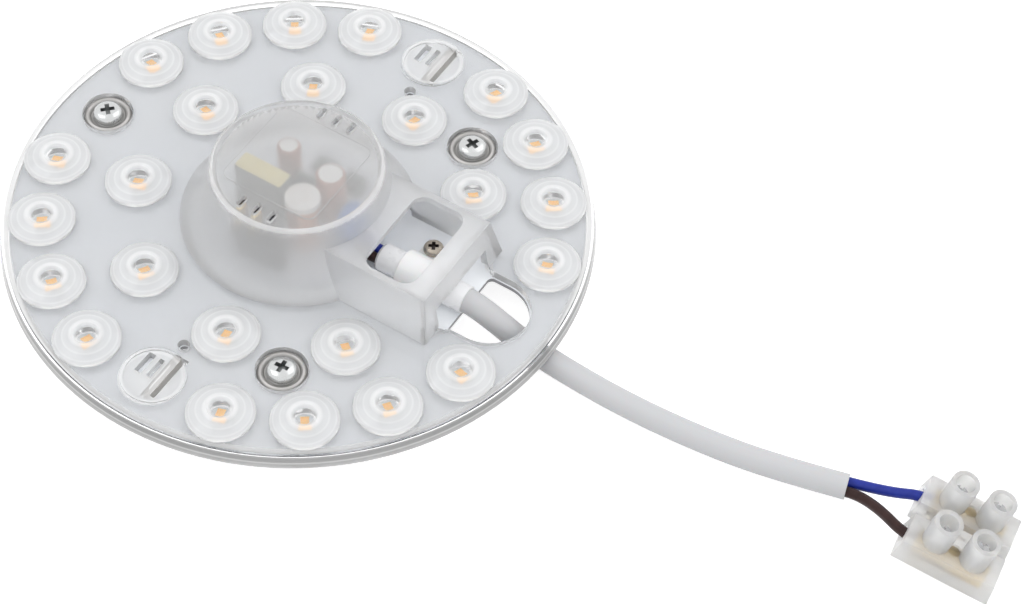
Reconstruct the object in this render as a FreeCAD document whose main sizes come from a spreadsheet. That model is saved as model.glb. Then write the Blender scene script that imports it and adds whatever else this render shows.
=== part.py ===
import FreeCAD, Part
import Sketcher
import math
import os

# Magnetic LED ceiling module, light side up, standing on its three magnets.
# Origin: on the table under the centre of the disc. +Z up, +X towards the cable cut-out. Millimetres.

App = FreeCAD
Vector = App.Vector
doc = App.newDocument("magnetic_led_module")

# Driving sizes

SIZES = [
    ("cover_dia", 125.0, "outer diameter at the foot of the skirt"),
    ("cover_front_dia", 123.8, "diameter of the front edge, the skirt is drafted"),
    ("plate_thick", 1.9, "lens plate"),
    ("skirt_depth", 3.3, "front of the plate to the foot of the skirt"),
    ("skirt_wall", 1.2, "skirt wall"),
    ("rim_round", 0.5, "chamfer round the front edge"),
    ("board_gap", 0.35, "between board and skirt"),
    ("board_thick", 1.0, "aluminium LED board"),
    ("magnet_dia", 16.0, "pot magnet"),
    ("magnet_high", 5.0, "pot magnet without its bush"),
    ("pot_wall", 1.3, "steel of the pot"),
    ("bush_dia", 8.0, "threaded bush on the pot"),
    ("bush_high", 1.3, "height of the bush, which carries the board"),
    ("screw_dia", 3.0, "magnet screw thread"),
    ("screw_head_dia", 6.5, "magnet screw head"),
    ("screw_head_high", 2.3, "magnet screw head"),
    ("screw_hole_gap", 0.2, "round the screw in board and cup"),
    ("cup_dia", 10.4, "pressed cup round the screw head"),
    ("cup_floor", 0.6, "cup floor"),
    ("cup_wall", 0.6, "cup wall"),
    ("cup_high", 1.5, "cup above the board"),
    ("cup_gap", 0.25, "round the cup in the lens plate"),
    ("rear_magnet_inset", 11.7, "single magnet, from the edge of the cover"),
    ("pair_magnet_inset", 21.043, "two magnets beside the terminal box, from the edge of the cover"),
    ("lens_dia", 14.1, "lens"),
    ("lens_lip", 0.5, "upright edge of the lens"),
    ("lens_rise", 2.1, "crown of the lens above the plate"),
    ("lens_crown_dia", 6.2, "ring at the crown"),
    ("lens_dimple", 0.8, "depth of the dimple in the crown"),
    ("pocket_dia", 6.0, "pocket over each LED"),
    ("pocket_high", 1.7, "pocket over each LED"),
    ("outer_ring_inset", 8.4, "circle of sixteen lenses, from the edge of the cover"),
    ("inner_ring_dia", 70.1, "circle of six lenses"),
    ("flank_ring_dia", 73.6, "circle of the two lenses beside the terminal box"),
    ("led_long", 3.5, "LED package"),
    ("led_wide", 2.8, "LED package"),
    ("led_high", 0.7, "LED package"),
    ("led_well", 0.12, "depth of the phosphor below the package edge"),
    ("dome_base_dia", 50.0, "driver dome where it meets the plate"),
    ("dome_top_dia", 35.6, "driver dome at the top"),
    ("dome_high", 15.6, "driver dome above the plate"),
    ("dome_wall", 1.5, "dome wall and roof"),
    ("dome_flare", 43.0, "radius of the hollow flank of the dome"),
    ("pad_wide", 22.6, "raised square on the dome roof"),
    ("pad_high", 0.3, "raised square on the dome roof"),
    ("vent_long", 2.9, "vent slot"),
    ("vent_wide", 1.2, "vent slot"),
    ("vent_pitch", 3.7, "vent slots"),
    ("vent_row", 14.2, "vent rows, from the centre"),
    ("box_wide", 24.6, "terminal box roof"),
    ("box_foot", 29.8, "terminal box at the plate"),
    ("box_high", 10.5, "terminal box above the plate"),
    ("box_end", 39.2, "end of the terminal box roof, from the centre"),
    ("box_slope", 2.0, "draft of the end wall"),
    ("box_wall", 1.4, "terminal box walls and roof"),
    ("box_start", 14.0, "where the box begins inside the dome"),
    ("hatch_start", 22.9, "hatch in the box roof"),
    ("hatch_end", 34.9, "hatch in the box roof"),
    ("hatch_round", 3.0, "hatch corners"),
    ("mouth_wide", 18.6, "opening in the end wall of the box"),
    ("mouth_high", 5.2, "opening above the plate"),
    ("throat_end", 42.8, "end of the opening in the plate between box and cut-out"),
    ("cutout_edge", 41.9, "straight edge of the board cut-out"),
    ("cutout_wide", 16.9, "board cut-out"),
    ("cutout_side", 0.3, "cut-out beside the centre line"),
    ("cutout_centre", 46.8, "centre of the round end of the cut-out"),
    ("cutout_margin", 0.3, "plate cut-out beyond the board cut-out"),
    ("clip_inset", 11.2, "clip windows, from the edge of the cover"),
    ("clip_ring_dia", 13.6, "ring round each clip window"),
    ("clip_long", 11.0, "snap hook"),
    ("clip_thick", 2.0, "snap hook"),
    ("clip_barb", 0.8, "reach of the barb under the board"),
    ("clip_gap", 0.25, "hook in its slot"),
    ("clip_view", 1.1, "open strip beside the hook"),
    ("peg_hole_dia", 2.5, "small hole beside each clip window"),
    ("peg_to_clip", 9.4, "small holes, from the clip windows"),
    ("driver_dia", 37.0, "driver board"),
    ("driver_thick", 1.2, "driver board"),
    ("driver_gap", 0.7, "under the driver board"),
    ("pin_dia", 1.0, "pins that join the two boards"),
    ("pin_spread", 14.0, "pins, from the centre"),
    ("pin_over", 0.8, "pin above the driver board"),
    ("film_long", 11.6, "film capacitor"),
    ("film_wide", 4.4, "film capacitor"),
    ("film_high", 13.4, "film capacitor"),
    ("small_cap_dia", 5.0, "small electrolytic capacitor"),
    ("small_cap_high", 12.2, "small electrolytic capacitor"),
    ("large_cap_dia", 6.3, "large electrolytic capacitor"),
    ("large_cap_high", 12.2, "large electrolytic capacitor"),
    ("choke_dia", 7.4, "drum choke"),
    ("choke_high", 12.2, "drum choke"),
    ("choke_flange", 1.4, "drum choke flanges"),
    ("choke_neck_dia", 4.0, "drum choke neck"),
    ("coil_dia", 6.7, "choke winding"),
    ("varistor_dia", 7.6, "disc varistor"),
    ("varistor_thick", 3.4, "disc varistor"),
    ("chip_high", 1.6, "controller chip"),
    ("bridge_high", 2.4, "bridge rectifier"),
    ("cable_dia", 5.4, "two-core flexible cable"),
    ("core_dia", 2.2, "insulated core"),
    ("sleeve_wall", 0.35, "sleeve on the cable"),
    ("sleeve_start", 21.9, "sleeve, from the centre"),
    ("sleeve_end", 41.0, "sleeve, from the centre"),
    ("cable_side", -1.0, "cable beside the centre line in the box"),
    ("clamp_start", 26.9, "cable clamp"),
    ("clamp_end", 35.2, "cable clamp"),
    ("clamp_wall", 1.1, "cable clamp over the sleeve"),
    ("clamp_foot", 1.0, "clamp foot under the screw"),
    ("clamp_screw_x", 28.6, "clamp screw"),
    ("clamp_screw_y", 7.6, "clamp screw"),
    ("clamp_head_dia", 4.2, "clamp screw head"),
    ("clamp_head_high", 1.4, "clamp screw head"),
    ("clamp_thread_dia", 2.2, "clamp screw thread"),
    ("block_long", 20.8, "terminal block along the wires"),
    ("pole_pitch", 10.0, "terminal block poles"),
    ("pole_wide", 7.8, "one pole"),
    ("pole_high", 6.0, "one pole without its towers"),
    ("pole_draft", 0.7, "draft of the end faces and sides"),
    ("tower_dia", 5.8, "screw tower"),
    ("tower_top", 13.5, "screw tower above the base"),
    ("tower_bore", 3.9, "bore of the tower"),
    ("tower_pitch", 7.95, "two towers of one pole"),
    ("web_high", 4.2, "web between the poles"),
    ("web_long", 12.0, "web between the poles"),
    ("fixing_dia", 2.6, "fixing hole between the towers"),
    ("insert_dia", 4.6, "brass insert"),
    ("insert_long", 15.0, "brass insert"),
    ("wire_bore", 2.6, "wire bore of the insert"),
    ("wire_axis", 3.1, "wire bore above the base"),
    ("entry_dia", 3.6, "wire entry in the end of the block"),
    ("grub_dia", 2.9, "terminal screw thread"),
    ("grub_head_dia", 3.6, "terminal screw head"),
]

sheet = doc.addObject("Spreadsheet::Sheet", "sizes")
for row, (alias, value, note) in enumerate(SIZES, start=1):
    sheet.set("A%d" % row, note)
    sheet.set("B%d" % row, str(value))
    sheet.setAlias("B%d" % row, alias)
doc.recompute()


class Size:
    """A length that knows both its number and the expression that gives it."""

    def __init__(self, value, text):
        self.value = float(value)
        self.text = text

    def __add__(self, other):
        other = as_size(other)
        return Size(self.value + other.value, "(%s + %s)" % (self.text, other.text))

    def __sub__(self, other):
        other = as_size(other)
        return Size(self.value - other.value, "(%s - %s)" % (self.text, other.text))

    def __mul__(self, other):
        other = as_size(other)
        return Size(self.value * other.value, "(%s * %s)" % (self.text, other.text))

    def __truediv__(self, other):
        other = as_size(other)
        return Size(self.value / other.value, "(%s / %s)" % (self.text, other.text))

    def __neg__(self):
        return Size(-self.value, "(0 - %s)" % self.text)

    __radd__ = __add__
    __rmul__ = __mul__

    def __rsub__(self, other):
        return as_size(other) - self


def as_size(number):
    if isinstance(number, Size):
        return number
    return Size(number, "(%.9f)" % number)


def smaller(one, other):
    return Size(min(one.value, other.value), "min(%s; %s)" % (one.text, other.text))


def along(size, degrees):
    """A size times the cosine and sine of an angle, as x and y."""
    angle = math.radians(degrees)
    return as_size(size) * math.cos(angle), as_size(size) * math.sin(angle)


numbers = {alias: Size(sheet.get(alias), "sizes." + alias) for alias, value, note in SIZES}


class Named:
    pass


s = Named()
s.__dict__.update(numbers)

# Levels from the table upwards

board_under = s.magnet_high + s.bush_high
board_top = board_under + s.board_thick
front = board_top + s.plate_thick
skirt_foot = front - s.skirt_depth
cover_edge = smaller(s.cover_dia, s.cover_front_dia) / 2
skirt_bore = cover_edge - s.skirt_wall
outer_ring = cover_edge - s.outer_ring_inset
clip_row = cover_edge - s.clip_inset
peg_row = clip_row - s.peg_to_clip
driver_top = board_top + s.driver_gap + s.driver_thick
sleeve_radius = s.cable_dia / 2 + s.sleeve_wall
cable_axis = board_top + sleeve_radius

pair_magnet_x, pair_magnet_y = along(cover_edge - s.pair_magnet_inset, 60.05)

magnet_places = [
    (s.rear_magnet_inset - cover_edge, as_size(0)),
    (pair_magnet_x, pair_magnet_y),
    (pair_magnet_x, -pair_magnet_y),
]


def bind(thing, prop, size):
    thing.setExpression(prop, as_size(size).text)


def place(thing, x=0, y=0, z=0):
    bind(thing, ".Placement.Base.x", x)
    bind(thing, ".Placement.Base.y", y)
    bind(thing, ".Placement.Base.z", z)
    return thing


def turn(thing, axis, degrees):
    thing.Placement = App.Placement(thing.Placement.Base, App.Rotation(Vector(*axis), degrees))
    return thing


def cylinder(name, dia, high, x=0, y=0, z=0):
    solid = doc.addObject("Part::Cylinder", name)
    bind(solid, "Radius", as_size(dia) / 2)
    bind(solid, "Height", high)
    return place(solid, x, y, z)


def block(name, long, wide, high, x=0, y=0, z=0):
    """A box by its own size and its lowest corner."""
    solid = doc.addObject("Part::Box", name)
    bind(solid, "Length", long)
    bind(solid, "Width", wide)
    bind(solid, "Height", high)
    return place(solid, x, y, z)


def centred(name, long, wide, high, x, y, z):
    """A box by its own size, standing on the middle of its underside."""
    return block(name, long, wide, high, x - as_size(long) / 2, y - as_size(wide) / 2, z)


def wedge(name, low, high, foot, crown):
    """A drafted box from its foot and crown rectangles, each (x0, x1, half width)."""
    solid = doc.addObject("Part::Wedge", name)
    # The wedge's own Y runs upwards and its X and Z lie in the plane, so it is stood up by a turn.
    bind(solid, "Ymin", low)
    bind(solid, "Ymax", high)
    bind(solid, "Xmin", foot[0])
    bind(solid, "Xmax", foot[1])
    bind(solid, "Zmin", -as_size(foot[2]))
    bind(solid, "Zmax", foot[2])
    bind(solid, "X2min", crown[0])
    bind(solid, "X2max", crown[1])
    bind(solid, "Z2min", -as_size(crown[2]))
    bind(solid, "Z2max", crown[2])
    return turn(solid, (1, 0, 0), 90)


def fuse(name, solids):
    joined = doc.addObject("Part::MultiFuse", name)
    joined.Shapes = solids
    return joined


def cut(name, base, tools):
    carved = doc.addObject("Part::Cut", name)
    carved.Base = base
    carved.Tool = tools[0] if len(tools) == 1 else fuse(name + "_tools", tools)
    return carved


def arc_centre(start, end, radius, left):
    middle = (start + end) * 0.5
    run = end - start
    away = Vector(-run.y, run.x, 0)
    away.normalize()
    rise = math.sqrt(max(radius * radius - run.Length ** 2 / 4.0, 0.0))
    return middle + away * (rise if left else -rise)


def profile(name, corners, upright=False):
    """A closed sketch. Each corner is (x, y) or (x, y, radius of the edge that leaves it).

    A positive radius puts the centre of that arc on the left of the way round, a negative one on the right.
    """
    sketch = doc.addObject("Sketcher::SketchObject", name)
    if upright:
        sketch.Placement = App.Placement(Vector(), App.Rotation(Vector(1, 0, 0), 90))
    count = len(corners)
    points = [Vector(as_size(c[0]).value, as_size(c[1]).value, 0) for c in corners]
    for i, corner in enumerate(corners):
        start, end = points[i], points[(i + 1) % count]
        if len(corner) == 2:
            sketch.addGeometry(Part.LineSegment(start, end), False)
            continue
        radius = as_size(corner[2]).value
        centre = arc_centre(start, end, abs(radius), radius > 0)
        begin, finish = (start, end) if radius > 0 else (end, start)
        first_angle = math.atan2(begin.y - centre.y, begin.x - centre.x)
        last_angle = math.atan2(finish.y - centre.y, finish.x - centre.x)
        if last_angle <= first_angle:
            last_angle += 2 * math.pi
        circle = Part.Circle(centre, Vector(0, 0, 1), abs(radius))
        sketch.addGeometry(Part.ArcOfCircle(circle, first_angle, last_angle), False)

    def ends(index):
        """Numbers of the points at which an edge starts and ends on the way round."""
        clockwise = len(corners[index]) == 3 and as_size(corners[index][2]).value < 0
        return (2, 1) if clockwise else (1, 2)

    for i in range(count):
        following = (i + 1) % count
        sketch.addConstraint(
            Sketcher.Constraint("Coincident", i, ends(i)[1], following, ends(following)[0]))
    for i, corner in enumerate(corners):
        begin = ends(i)[0]
        number = sketch.addConstraint(Sketcher.Constraint("DistanceX", -1, 1, i, begin, points[i].x))
        sketch.setExpression("Constraints[%d]" % number, as_size(corner[0]).text)
        number = sketch.addConstraint(Sketcher.Constraint("DistanceY", -1, 1, i, begin, points[i].y))
        sketch.setExpression("Constraints[%d]" % number, as_size(corner[1]).text)
        if len(corner) == 3:
            radius = as_size(corner[2])
            if radius.value < 0:
                radius = -radius
            number = sketch.addConstraint(Sketcher.Constraint("Radius", i, radius.value))
            sketch.setExpression("Constraints[%d]" % number, radius.text)
    return sketch


def revolve(name, sketch):
    solid = doc.addObject("Part::Revolution", name)
    solid.Source = sketch
    solid.Axis = Vector(0, 0, 1)
    solid.Base = Vector(0, 0, 0)
    solid.Angle = 360.0
    solid.Solid = True
    return solid


def extrude(name, sketch, high, z=0):
    solid = doc.addObject("Part::Extrusion", name)
    solid.Base = sketch
    solid.DirMode = "Custom"
    solid.Dir = Vector(0, 0, 1)
    solid.Solid = True
    bind(solid, "LengthFwd", high)
    return place(solid, 0, 0, z)


def rounded(name, x0, x1, y0, y1, corner, high, z=0):
    """An upright slab with rounded corners."""
    r = as_size(corner)
    outline = profile(name + "_outline", [
        (x0 + r, y0), (x1 - r, y0, r), (x1, y0 + r), (x1, y1 - r, r),
        (x1 - r, y1), (x0 + r, y1, r), (x0, y1 - r), (x0, y0 + r, r),
    ])
    return extrude(name, outline, high, z)


# Lens places: sixteen outside, six inside and one on each flank of the terminal box

lens_places = []
for quarter in range(4):
    for step in range(1, 5):
        lens_places.append((outer_ring, 90.0 * quarter + 18.0 * step))
for step in range(6):
    lens_places.append((s.inner_ring_dia / 2, 80.0 + 40.0 * step))
lens_places.append((s.flank_ring_dia / 2, 40.5))
lens_places.append((s.flank_ring_dia / 2, -40.5))

# Lens cover: one clear moulding with plate, skirt, lenses, driver dome and terminal box

plate = revolve("plate", profile("plate_profile", [
    (0, board_top),
    (skirt_bore, board_top),
    (skirt_bore, skirt_foot),
    (s.cover_dia / 2, skirt_foot),
    (s.cover_front_dia / 2, front - s.rim_round),
    (s.cover_front_dia / 2 - s.rim_round, front),
    (0, front),
], upright=True))

# The lens has an upright edge, a low crown and a dimple, so that each LED gives a wide, even beam.
lens_profile = profile("lens_profile", [
    (0, board_top + s.plate_thick / 2),
    (s.lens_dia / 2, board_top + s.plate_thick / 2),
    (s.lens_dia / 2, front + s.lens_lip, s.lens_dia * 0.85),
    (s.lens_crown_dia / 2, front + s.lens_rise),
    (s.lens_crown_dia / 2 - 0.5, front + s.lens_rise),
    (0, front + s.lens_rise - s.lens_dimple),
], upright=True)
lenses = []
for number, (radius, degrees) in enumerate(lens_places, start=1):
    x, y = along(radius, degrees)
    lenses.append(place(revolve("lens_%02d" % number, lens_profile), x, y))

dome = revolve("dome", profile("dome_profile", [
    (0, board_top + s.plate_thick / 2),
    (s.dome_base_dia / 2, board_top + s.plate_thick / 2),
    (s.dome_base_dia / 2, front, -s.dome_flare),
    (s.dome_top_dia / 2 + 0.3, front + s.dome_high - 0.8),
    (s.dome_top_dia / 2 - 0.5, front + s.dome_high),
    (0, front + s.dome_high),
], upright=True))
dome_cavity = revolve("dome_cavity", profile("dome_cavity_profile", [
    (0, board_top - 0.5),
    (s.dome_base_dia / 2 - s.dome_wall, board_top - 0.5),
    (s.dome_base_dia / 2 - s.dome_wall, front, -s.dome_flare - s.dome_wall),
    (s.dome_top_dia / 2 + 0.3 - s.dome_wall, front + s.dome_high - s.dome_wall),
    (0, front + s.dome_high - s.dome_wall),
], upright=True))
pad = rounded("roof_pad", -s.pad_wide / 2, s.pad_wide / 2, -s.pad_wide / 2, s.pad_wide / 2, 2.0,
              s.pad_high + 0.5, front + s.dome_high - 0.5)

box = wedge("terminal_box", front - s.plate_thick / 2, front + s.box_high,
            (s.box_start, s.box_end + s.box_slope, s.box_foot / 2),
            (s.box_start, s.box_end, s.box_wide / 2))
box_cavity = wedge("terminal_box_cavity", board_top - 0.5, front + s.box_high - s.box_wall,
                   (s.box_start - 2, s.box_end + s.box_slope - s.box_wall, s.box_foot / 2 - s.box_wall),
                   (s.box_start - 2, s.box_end - s.box_wall, s.box_wide / 2 - s.box_wall + 0.2))
hatch = rounded("hatch", s.hatch_start, s.hatch_end, s.box_wall - s.box_wide / 2,
                s.box_wide / 2 - s.box_wall, s.hatch_round, s.box_wall + 2,
                front + s.box_high - s.box_wall - 1)
mouth = block("mouth", 6, s.mouth_wide, s.mouth_high + s.plate_thick + 1,
              s.box_end - 3, -s.mouth_wide / 2, board_top - 1)
throat = extrude("throat", profile("throat_outline", [
    (s.box_end - 2, -s.mouth_wide / 2 - 2.0),
    (s.throat_end, -s.cutout_wide / 2 - s.cutout_margin),
    (s.throat_end, s.cutout_wide / 2 + s.cutout_margin),
    (s.box_end - 2, s.mouth_wide / 2 + 2.0),
]), s.plate_thick + 1, board_top - 0.5)


def cutout(name, margin, high, z):
    """The D-shaped hole through which the cable goes to the back."""
    half = s.cutout_wide / 2 + margin
    middle = s.cutout_side
    edge = s.cutout_edge - margin
    corner = as_size(1.2)
    return extrude(name, profile(name + "_outline", [
        (edge + corner, middle - half),
        (s.cutout_centre, middle - half, half),
        (s.cutout_centre + half, middle, half),
        (s.cutout_centre, middle + half),
        (edge + corner, middle + half, corner),
        (edge, middle + half - corner),
        (edge, middle - half + corner, corner),
    ]), high, z)


# Each clip window has a ring, two core-outs of the mould and a snap hook that passes through the board.
clip_rings = []
clip_hooks = []
clip_openings = []
clip_slots = []
hook_drop = s.board_thick + 0.9
for side, row in (("near", -clip_row), ("far", clip_row)):
    ring = cylinder("clip_ring_" + side, s.clip_ring_dia, s.plate_thick / 2 + 0.3, 0, row,
                    front - s.plate_thick / 2)
    ring_inside = cylinder("clip_ring_bore_" + side, s.clip_ring_dia - 1.4, 1, 0, row, front)
    clip_rings.append(cut("clip_rim_" + side, ring, [ring_inside]))
    hook_end = row - s.clip_long / 2 + 1.4
    hook = block("hook_" + side, s.clip_thick, s.clip_long, hook_drop + s.plate_thick / 2,
                 0.3, hook_end, board_top - hook_drop)
    barb = block("barb_" + side, s.clip_barb + 0.5, s.clip_long - 4, 0.85,
                 -s.clip_barb + 0.3, hook_end + 2, board_top - hook_drop)
    clip_hooks += [hook, barb]
    clip_slots.append(rounded("board_slot_" + side, as_size(0.3) - s.clip_gap,
                              0.3 + s.clip_thick + s.clip_view, hook_end - s.clip_gap - 0.5,
                              hook_end + s.clip_long + s.clip_gap, 0.2, s.board_thick + 2, board_under - 1))
    clip_openings.append(rounded("hook_view_" + side, 0.3 + s.clip_thick,
                                 0.3 + s.clip_thick + s.clip_view, hook_end - 0.4,
                                 hook_end + s.clip_long - 0.6, 0.3, s.plate_thick + 2, board_top - 1))
    clip_openings.append(rounded("core_out_wide_" + side, as_size(-4.1), as_size(-2.4), row - 1.0,
                                 row + 4.2, 0.25, s.plate_thick + 2, board_top - 1))
    clip_openings.append(rounded("core_out_slim_" + side, as_size(-1.3), as_size(-0.2), row - 0.9,
                                 row + 4.1, 0.25, s.plate_thick + 2, board_top - 1))

peg_holes = [cylinder("peg_hole_" + side, s.peg_hole_dia, s.plate_thick + s.board_thick + 2, 0.5, y,
                      board_under - 1)
             for side, y in (("near", -peg_row), ("far", peg_row))]
cup_holes = [cylinder("cup_hole_%d" % n, s.cup_dia + 2 * s.cup_gap, s.plate_thick + 4, x, y, board_top - 0.5)
             for n, (x, y) in enumerate(magnet_places, start=1)]
pockets = []
for number, (radius, degrees) in enumerate(lens_places, start=1):
    x, y = along(radius, degrees)
    pockets.append(cylinder("pocket_%02d" % number, s.pocket_dia, s.pocket_high + 0.5, x, y, board_top - 0.5))
vents = []
for side in (-1, 1):
    for step in (-1, 0, 1):
        x = s.vent_pitch * step
        y = s.vent_row * side
        vents.append(rounded("vent_%s%d" % ("near" if side < 0 else "far", step + 2),
                             x - s.vent_wide / 2, x + s.vent_wide / 2, y - s.vent_long / 2,
                             y + s.vent_long / 2, s.vent_wide * 0.45, s.dome_wall + 2,
                             front + s.dome_high - s.dome_wall - 1))

outside = fuse("cover_outside", [plate, dome, pad, box] + lenses + clip_rings)
hollows = [dome_cavity, box_cavity, hatch, mouth, throat,
           cutout("plate_cutout", s.cutout_margin, s.plate_thick + 2, board_top - 1)]
shell = cut("cover_shell", outside, hollows + clip_openings + peg_holes + cup_holes + pockets + vents)
lens_cover = fuse("lens_cover", [shell] + clip_hooks)

# LED board: white aluminium-core board, held in the skirt

board_disc = cylinder("board_disc", (skirt_bore - s.board_gap) * 2, s.board_thick, 0, 0, board_under)
screw_holes = [cylinder("board_hole_%d" % n, s.screw_dia + 2 * s.screw_hole_gap, s.board_thick + 2, x, y,
                        board_under - 1)
               for n, (x, y) in enumerate(magnet_places, start=1)]
board_peg_holes = [cylinder("board_peg_hole_" + side, s.peg_hole_dia * 0.8, s.board_thick + 2, 0.5, y,
                            board_under - 1)
                   for side, y in (("near", -peg_row), ("far", peg_row))]
clamp_hole = cylinder("clamp_hole", s.clamp_thread_dia, s.board_thick + 2, s.clamp_screw_x, s.clamp_screw_y,
                      board_under - 1)
led_board = cut("led_board", board_disc, screw_holes + board_peg_holes + clip_slots + [
    clamp_hole, cutout("board_cutout", 0, s.board_thick + 2, board_under - 1)])

# LEDs: one under each lens, with its phosphor a little below the edge of the package

leds = []
for number, (radius, degrees) in enumerate(lens_places, start=1):
    name = "led_%02d" % number
    package = centred(name + "_package", s.led_long, s.led_wide, s.led_high, 0, 0, 0)
    well = centred(name + "_well", s.led_long - 0.8, s.led_wide - 0.7, s.led_well + 1, 0, 0,
                   s.led_high - s.led_well)
    led = cut(name, package, [well])
    x, y = along(radius, degrees)
    led.Placement = App.Placement(Vector(), App.Rotation(Vector(0, 0, 1), degrees))
    leds.append(place(led, x, y, board_top))

# Driver board on four pins, with the parts that show through the dome

pin_places = [(s.pin_spread * i, s.pin_spread * 0.45 * j) for i in (-1, 0.85) for j in (-1, 1)]
driver_disc = cylinder("driver_disc", s.driver_dia, s.driver_thick, 0, 0, board_top + s.driver_gap)
pin_holes = [cylinder("pin_hole_%d" % n, s.pin_dia + 0.1, s.driver_thick + 2, x, y, board_top + s.driver_gap - 1)
             for n, (x, y) in enumerate(pin_places, start=1)]
driver_board = cut("driver_board", driver_disc, pin_holes)
driver_pins = doc.addObject("Part::Compound", "driver_pins")
driver_pins.Links = [cylinder("driver_pin_%d" % n, s.pin_dia, s.driver_gap + s.driver_thick + s.pin_over,
                              x, y, board_top)
                     for n, (x, y) in enumerate(pin_places, start=1)]

film_capacitor = rounded("film_capacitor", -0.1 - s.film_long, as_size(-0.1),
                         -4.0 - s.film_wide / 2, -4.0 + s.film_wide / 2, 0.5, s.film_high, driver_top)


def can(name, dia, high, x, y):
    """An electrolytic capacitor: a can with a groove near its seal."""
    side = as_size(dia) / 2
    turned = revolve(name, profile(name + "_profile", [
        (0, 0), (side, 0), (side, 1.2), (side - 0.25, 1.6), (side, 2.0),
        (side, high - 0.4), (side - 0.4, high), (0, high),
    ], upright=True))
    return place(turned, x, y, driver_top)


small_capacitor = can("small_capacitor", s.small_cap_dia, s.small_cap_high, -5.7, 5.0)
large_capacitor = can("large_capacitor", s.large_cap_dia, s.large_cap_high, 5.9, 3.4)

choke_core = place(revolve("choke_core", profile("choke_profile", [
    (0, 0), (s.choke_dia / 2, 0), (s.choke_dia / 2, s.choke_flange),
    (s.choke_neck_dia / 2, s.choke_flange), (s.choke_neck_dia / 2, s.choke_high - s.choke_flange),
    (s.choke_dia / 2, s.choke_high - s.choke_flange), (s.choke_dia / 2, s.choke_high), (0, s.choke_high),
], upright=True)), 4.7, -5.0, driver_top)
choke_coil = place(revolve("choke_coil", profile("coil_profile", [
    (s.choke_neck_dia / 2, s.choke_flange), (s.coil_dia / 2, s.choke_flange),
    (s.coil_dia / 2, s.choke_high - s.choke_flange), (s.choke_neck_dia / 2, s.choke_high - s.choke_flange),
], upright=True)), 4.7, -5.0, driver_top)

varistor_disc = cylinder("varistor_disc", s.varistor_dia, s.varistor_thick)
turn(varistor_disc, (0, 1, 0), 90)
place(varistor_disc, 10.7, 0.8, driver_top + 0.8 + s.varistor_dia / 2)
varistor_foot = block("varistor_foot", s.varistor_thick - 1.2, s.varistor_dia - 2.6,
                      s.varistor_dia / 2 + 0.8, 11.3, 0.8 - (s.varistor_dia - 2.6) / 2, driver_top)
varistor = fuse("varistor", [varistor_disc, varistor_foot])

driver_chip = centred("driver_chip", 5.0, 3.9, s.chip_high, -1.6, 12.0, driver_top)
bridge_rectifier = centred("bridge_rectifier", 4.7, 4.0, s.bridge_high, 6.2, 11.2, driver_top)

# Magnets: a steel pot with a threaded bush, and the magnet disc pressed into it

pots = []
magnets = []
screws = []
cups = []
for n, (x, y) in enumerate(magnet_places, start=1):
    pot_outside = cylinder("pot_outside_%d" % n, s.magnet_dia, s.magnet_high, x, y)
    bush = cylinder("bush_%d" % n, s.bush_dia, s.magnet_high + s.bush_high - 1, x, y, 1)
    seat = cylinder("magnet_seat_%d" % n, s.magnet_dia - 2 * s.pot_wall, s.magnet_high - s.pot_wall + 1, x, y, -1)
    thread = cylinder("pot_thread_%d" % n, s.screw_dia, s.magnet_high + s.bush_high + 2, x, y, -1)
    pots.append(cut("magnet_pot_%d" % n, fuse("pot_blank_%d" % n, [pot_outside, bush]), [seat, thread]))
    magnet_disc = cylinder("magnet_blank_%d" % n, s.magnet_dia - 2 * s.pot_wall,
                           s.magnet_high - s.pot_wall - 0.1, x, y, 0.1)
    magnet_hole = cylinder("magnet_bore_%d" % n, s.screw_dia + 1, s.magnet_high + 2, x, y, -1)
    magnets.append(cut("magnet_disc_%d" % n, magnet_disc, [magnet_hole]))

    # The cup is pressed sheet: a stepped ring whose floor lies on the board under the screw head.
    cup = revolve("screw_cup_%d" % n, profile("cup_profile_%d" % n, [
        (s.screw_dia / 2 + s.screw_hole_gap, 0),
        (s.cup_dia / 2, 0),
        (s.cup_dia / 2, s.cup_high - 0.7),
        (s.cup_dia / 2 - 0.7, s.cup_high),
        (s.cup_dia / 2 - 0.7 - s.cup_wall, s.cup_high),
        (s.cup_dia / 2 - 1.1 - s.cup_wall, s.cup_floor),
        (s.screw_dia / 2 + s.screw_hole_gap, s.cup_floor),
    ], upright=True))
    cups.append(place(cup, x, y, board_top))

    head_foot = s.cup_floor + board_top
    shank = s.magnet_high + s.bush_high - 1.5 + s.board_thick + s.cup_floor
    screw_blank = revolve("screw_blank_%d" % n, profile("screw_profile_%d" % n, [
        (0, -shank), (s.screw_dia / 2, -shank), (s.screw_dia / 2, 0), (s.screw_head_dia / 2, 0),
        (s.screw_head_dia / 2, s.screw_head_high - 1.1, s.screw_head_dia * 0.75),
        (s.screw_head_dia / 2 - 1.4, s.screw_head_high), (0, s.screw_head_high),
    ], upright=True))
    cross = [centred("cross_%d%s" % (n, tag), a, b, 2, 0, 0, s.screw_head_high - 1.2)
             for tag, a, b in (("a", 3.4, 0.9), ("b", 0.9, 3.4))]
    screw = cut("magnet_screw_%d" % n, screw_blank, cross)
    turn(screw, (0, 0, 1), 20.0 + 25.0 * n)
    screws.append(place(screw, x, y, head_foot))

# Cable clamp: a saddle over the sleeved cable, held by one screw

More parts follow.
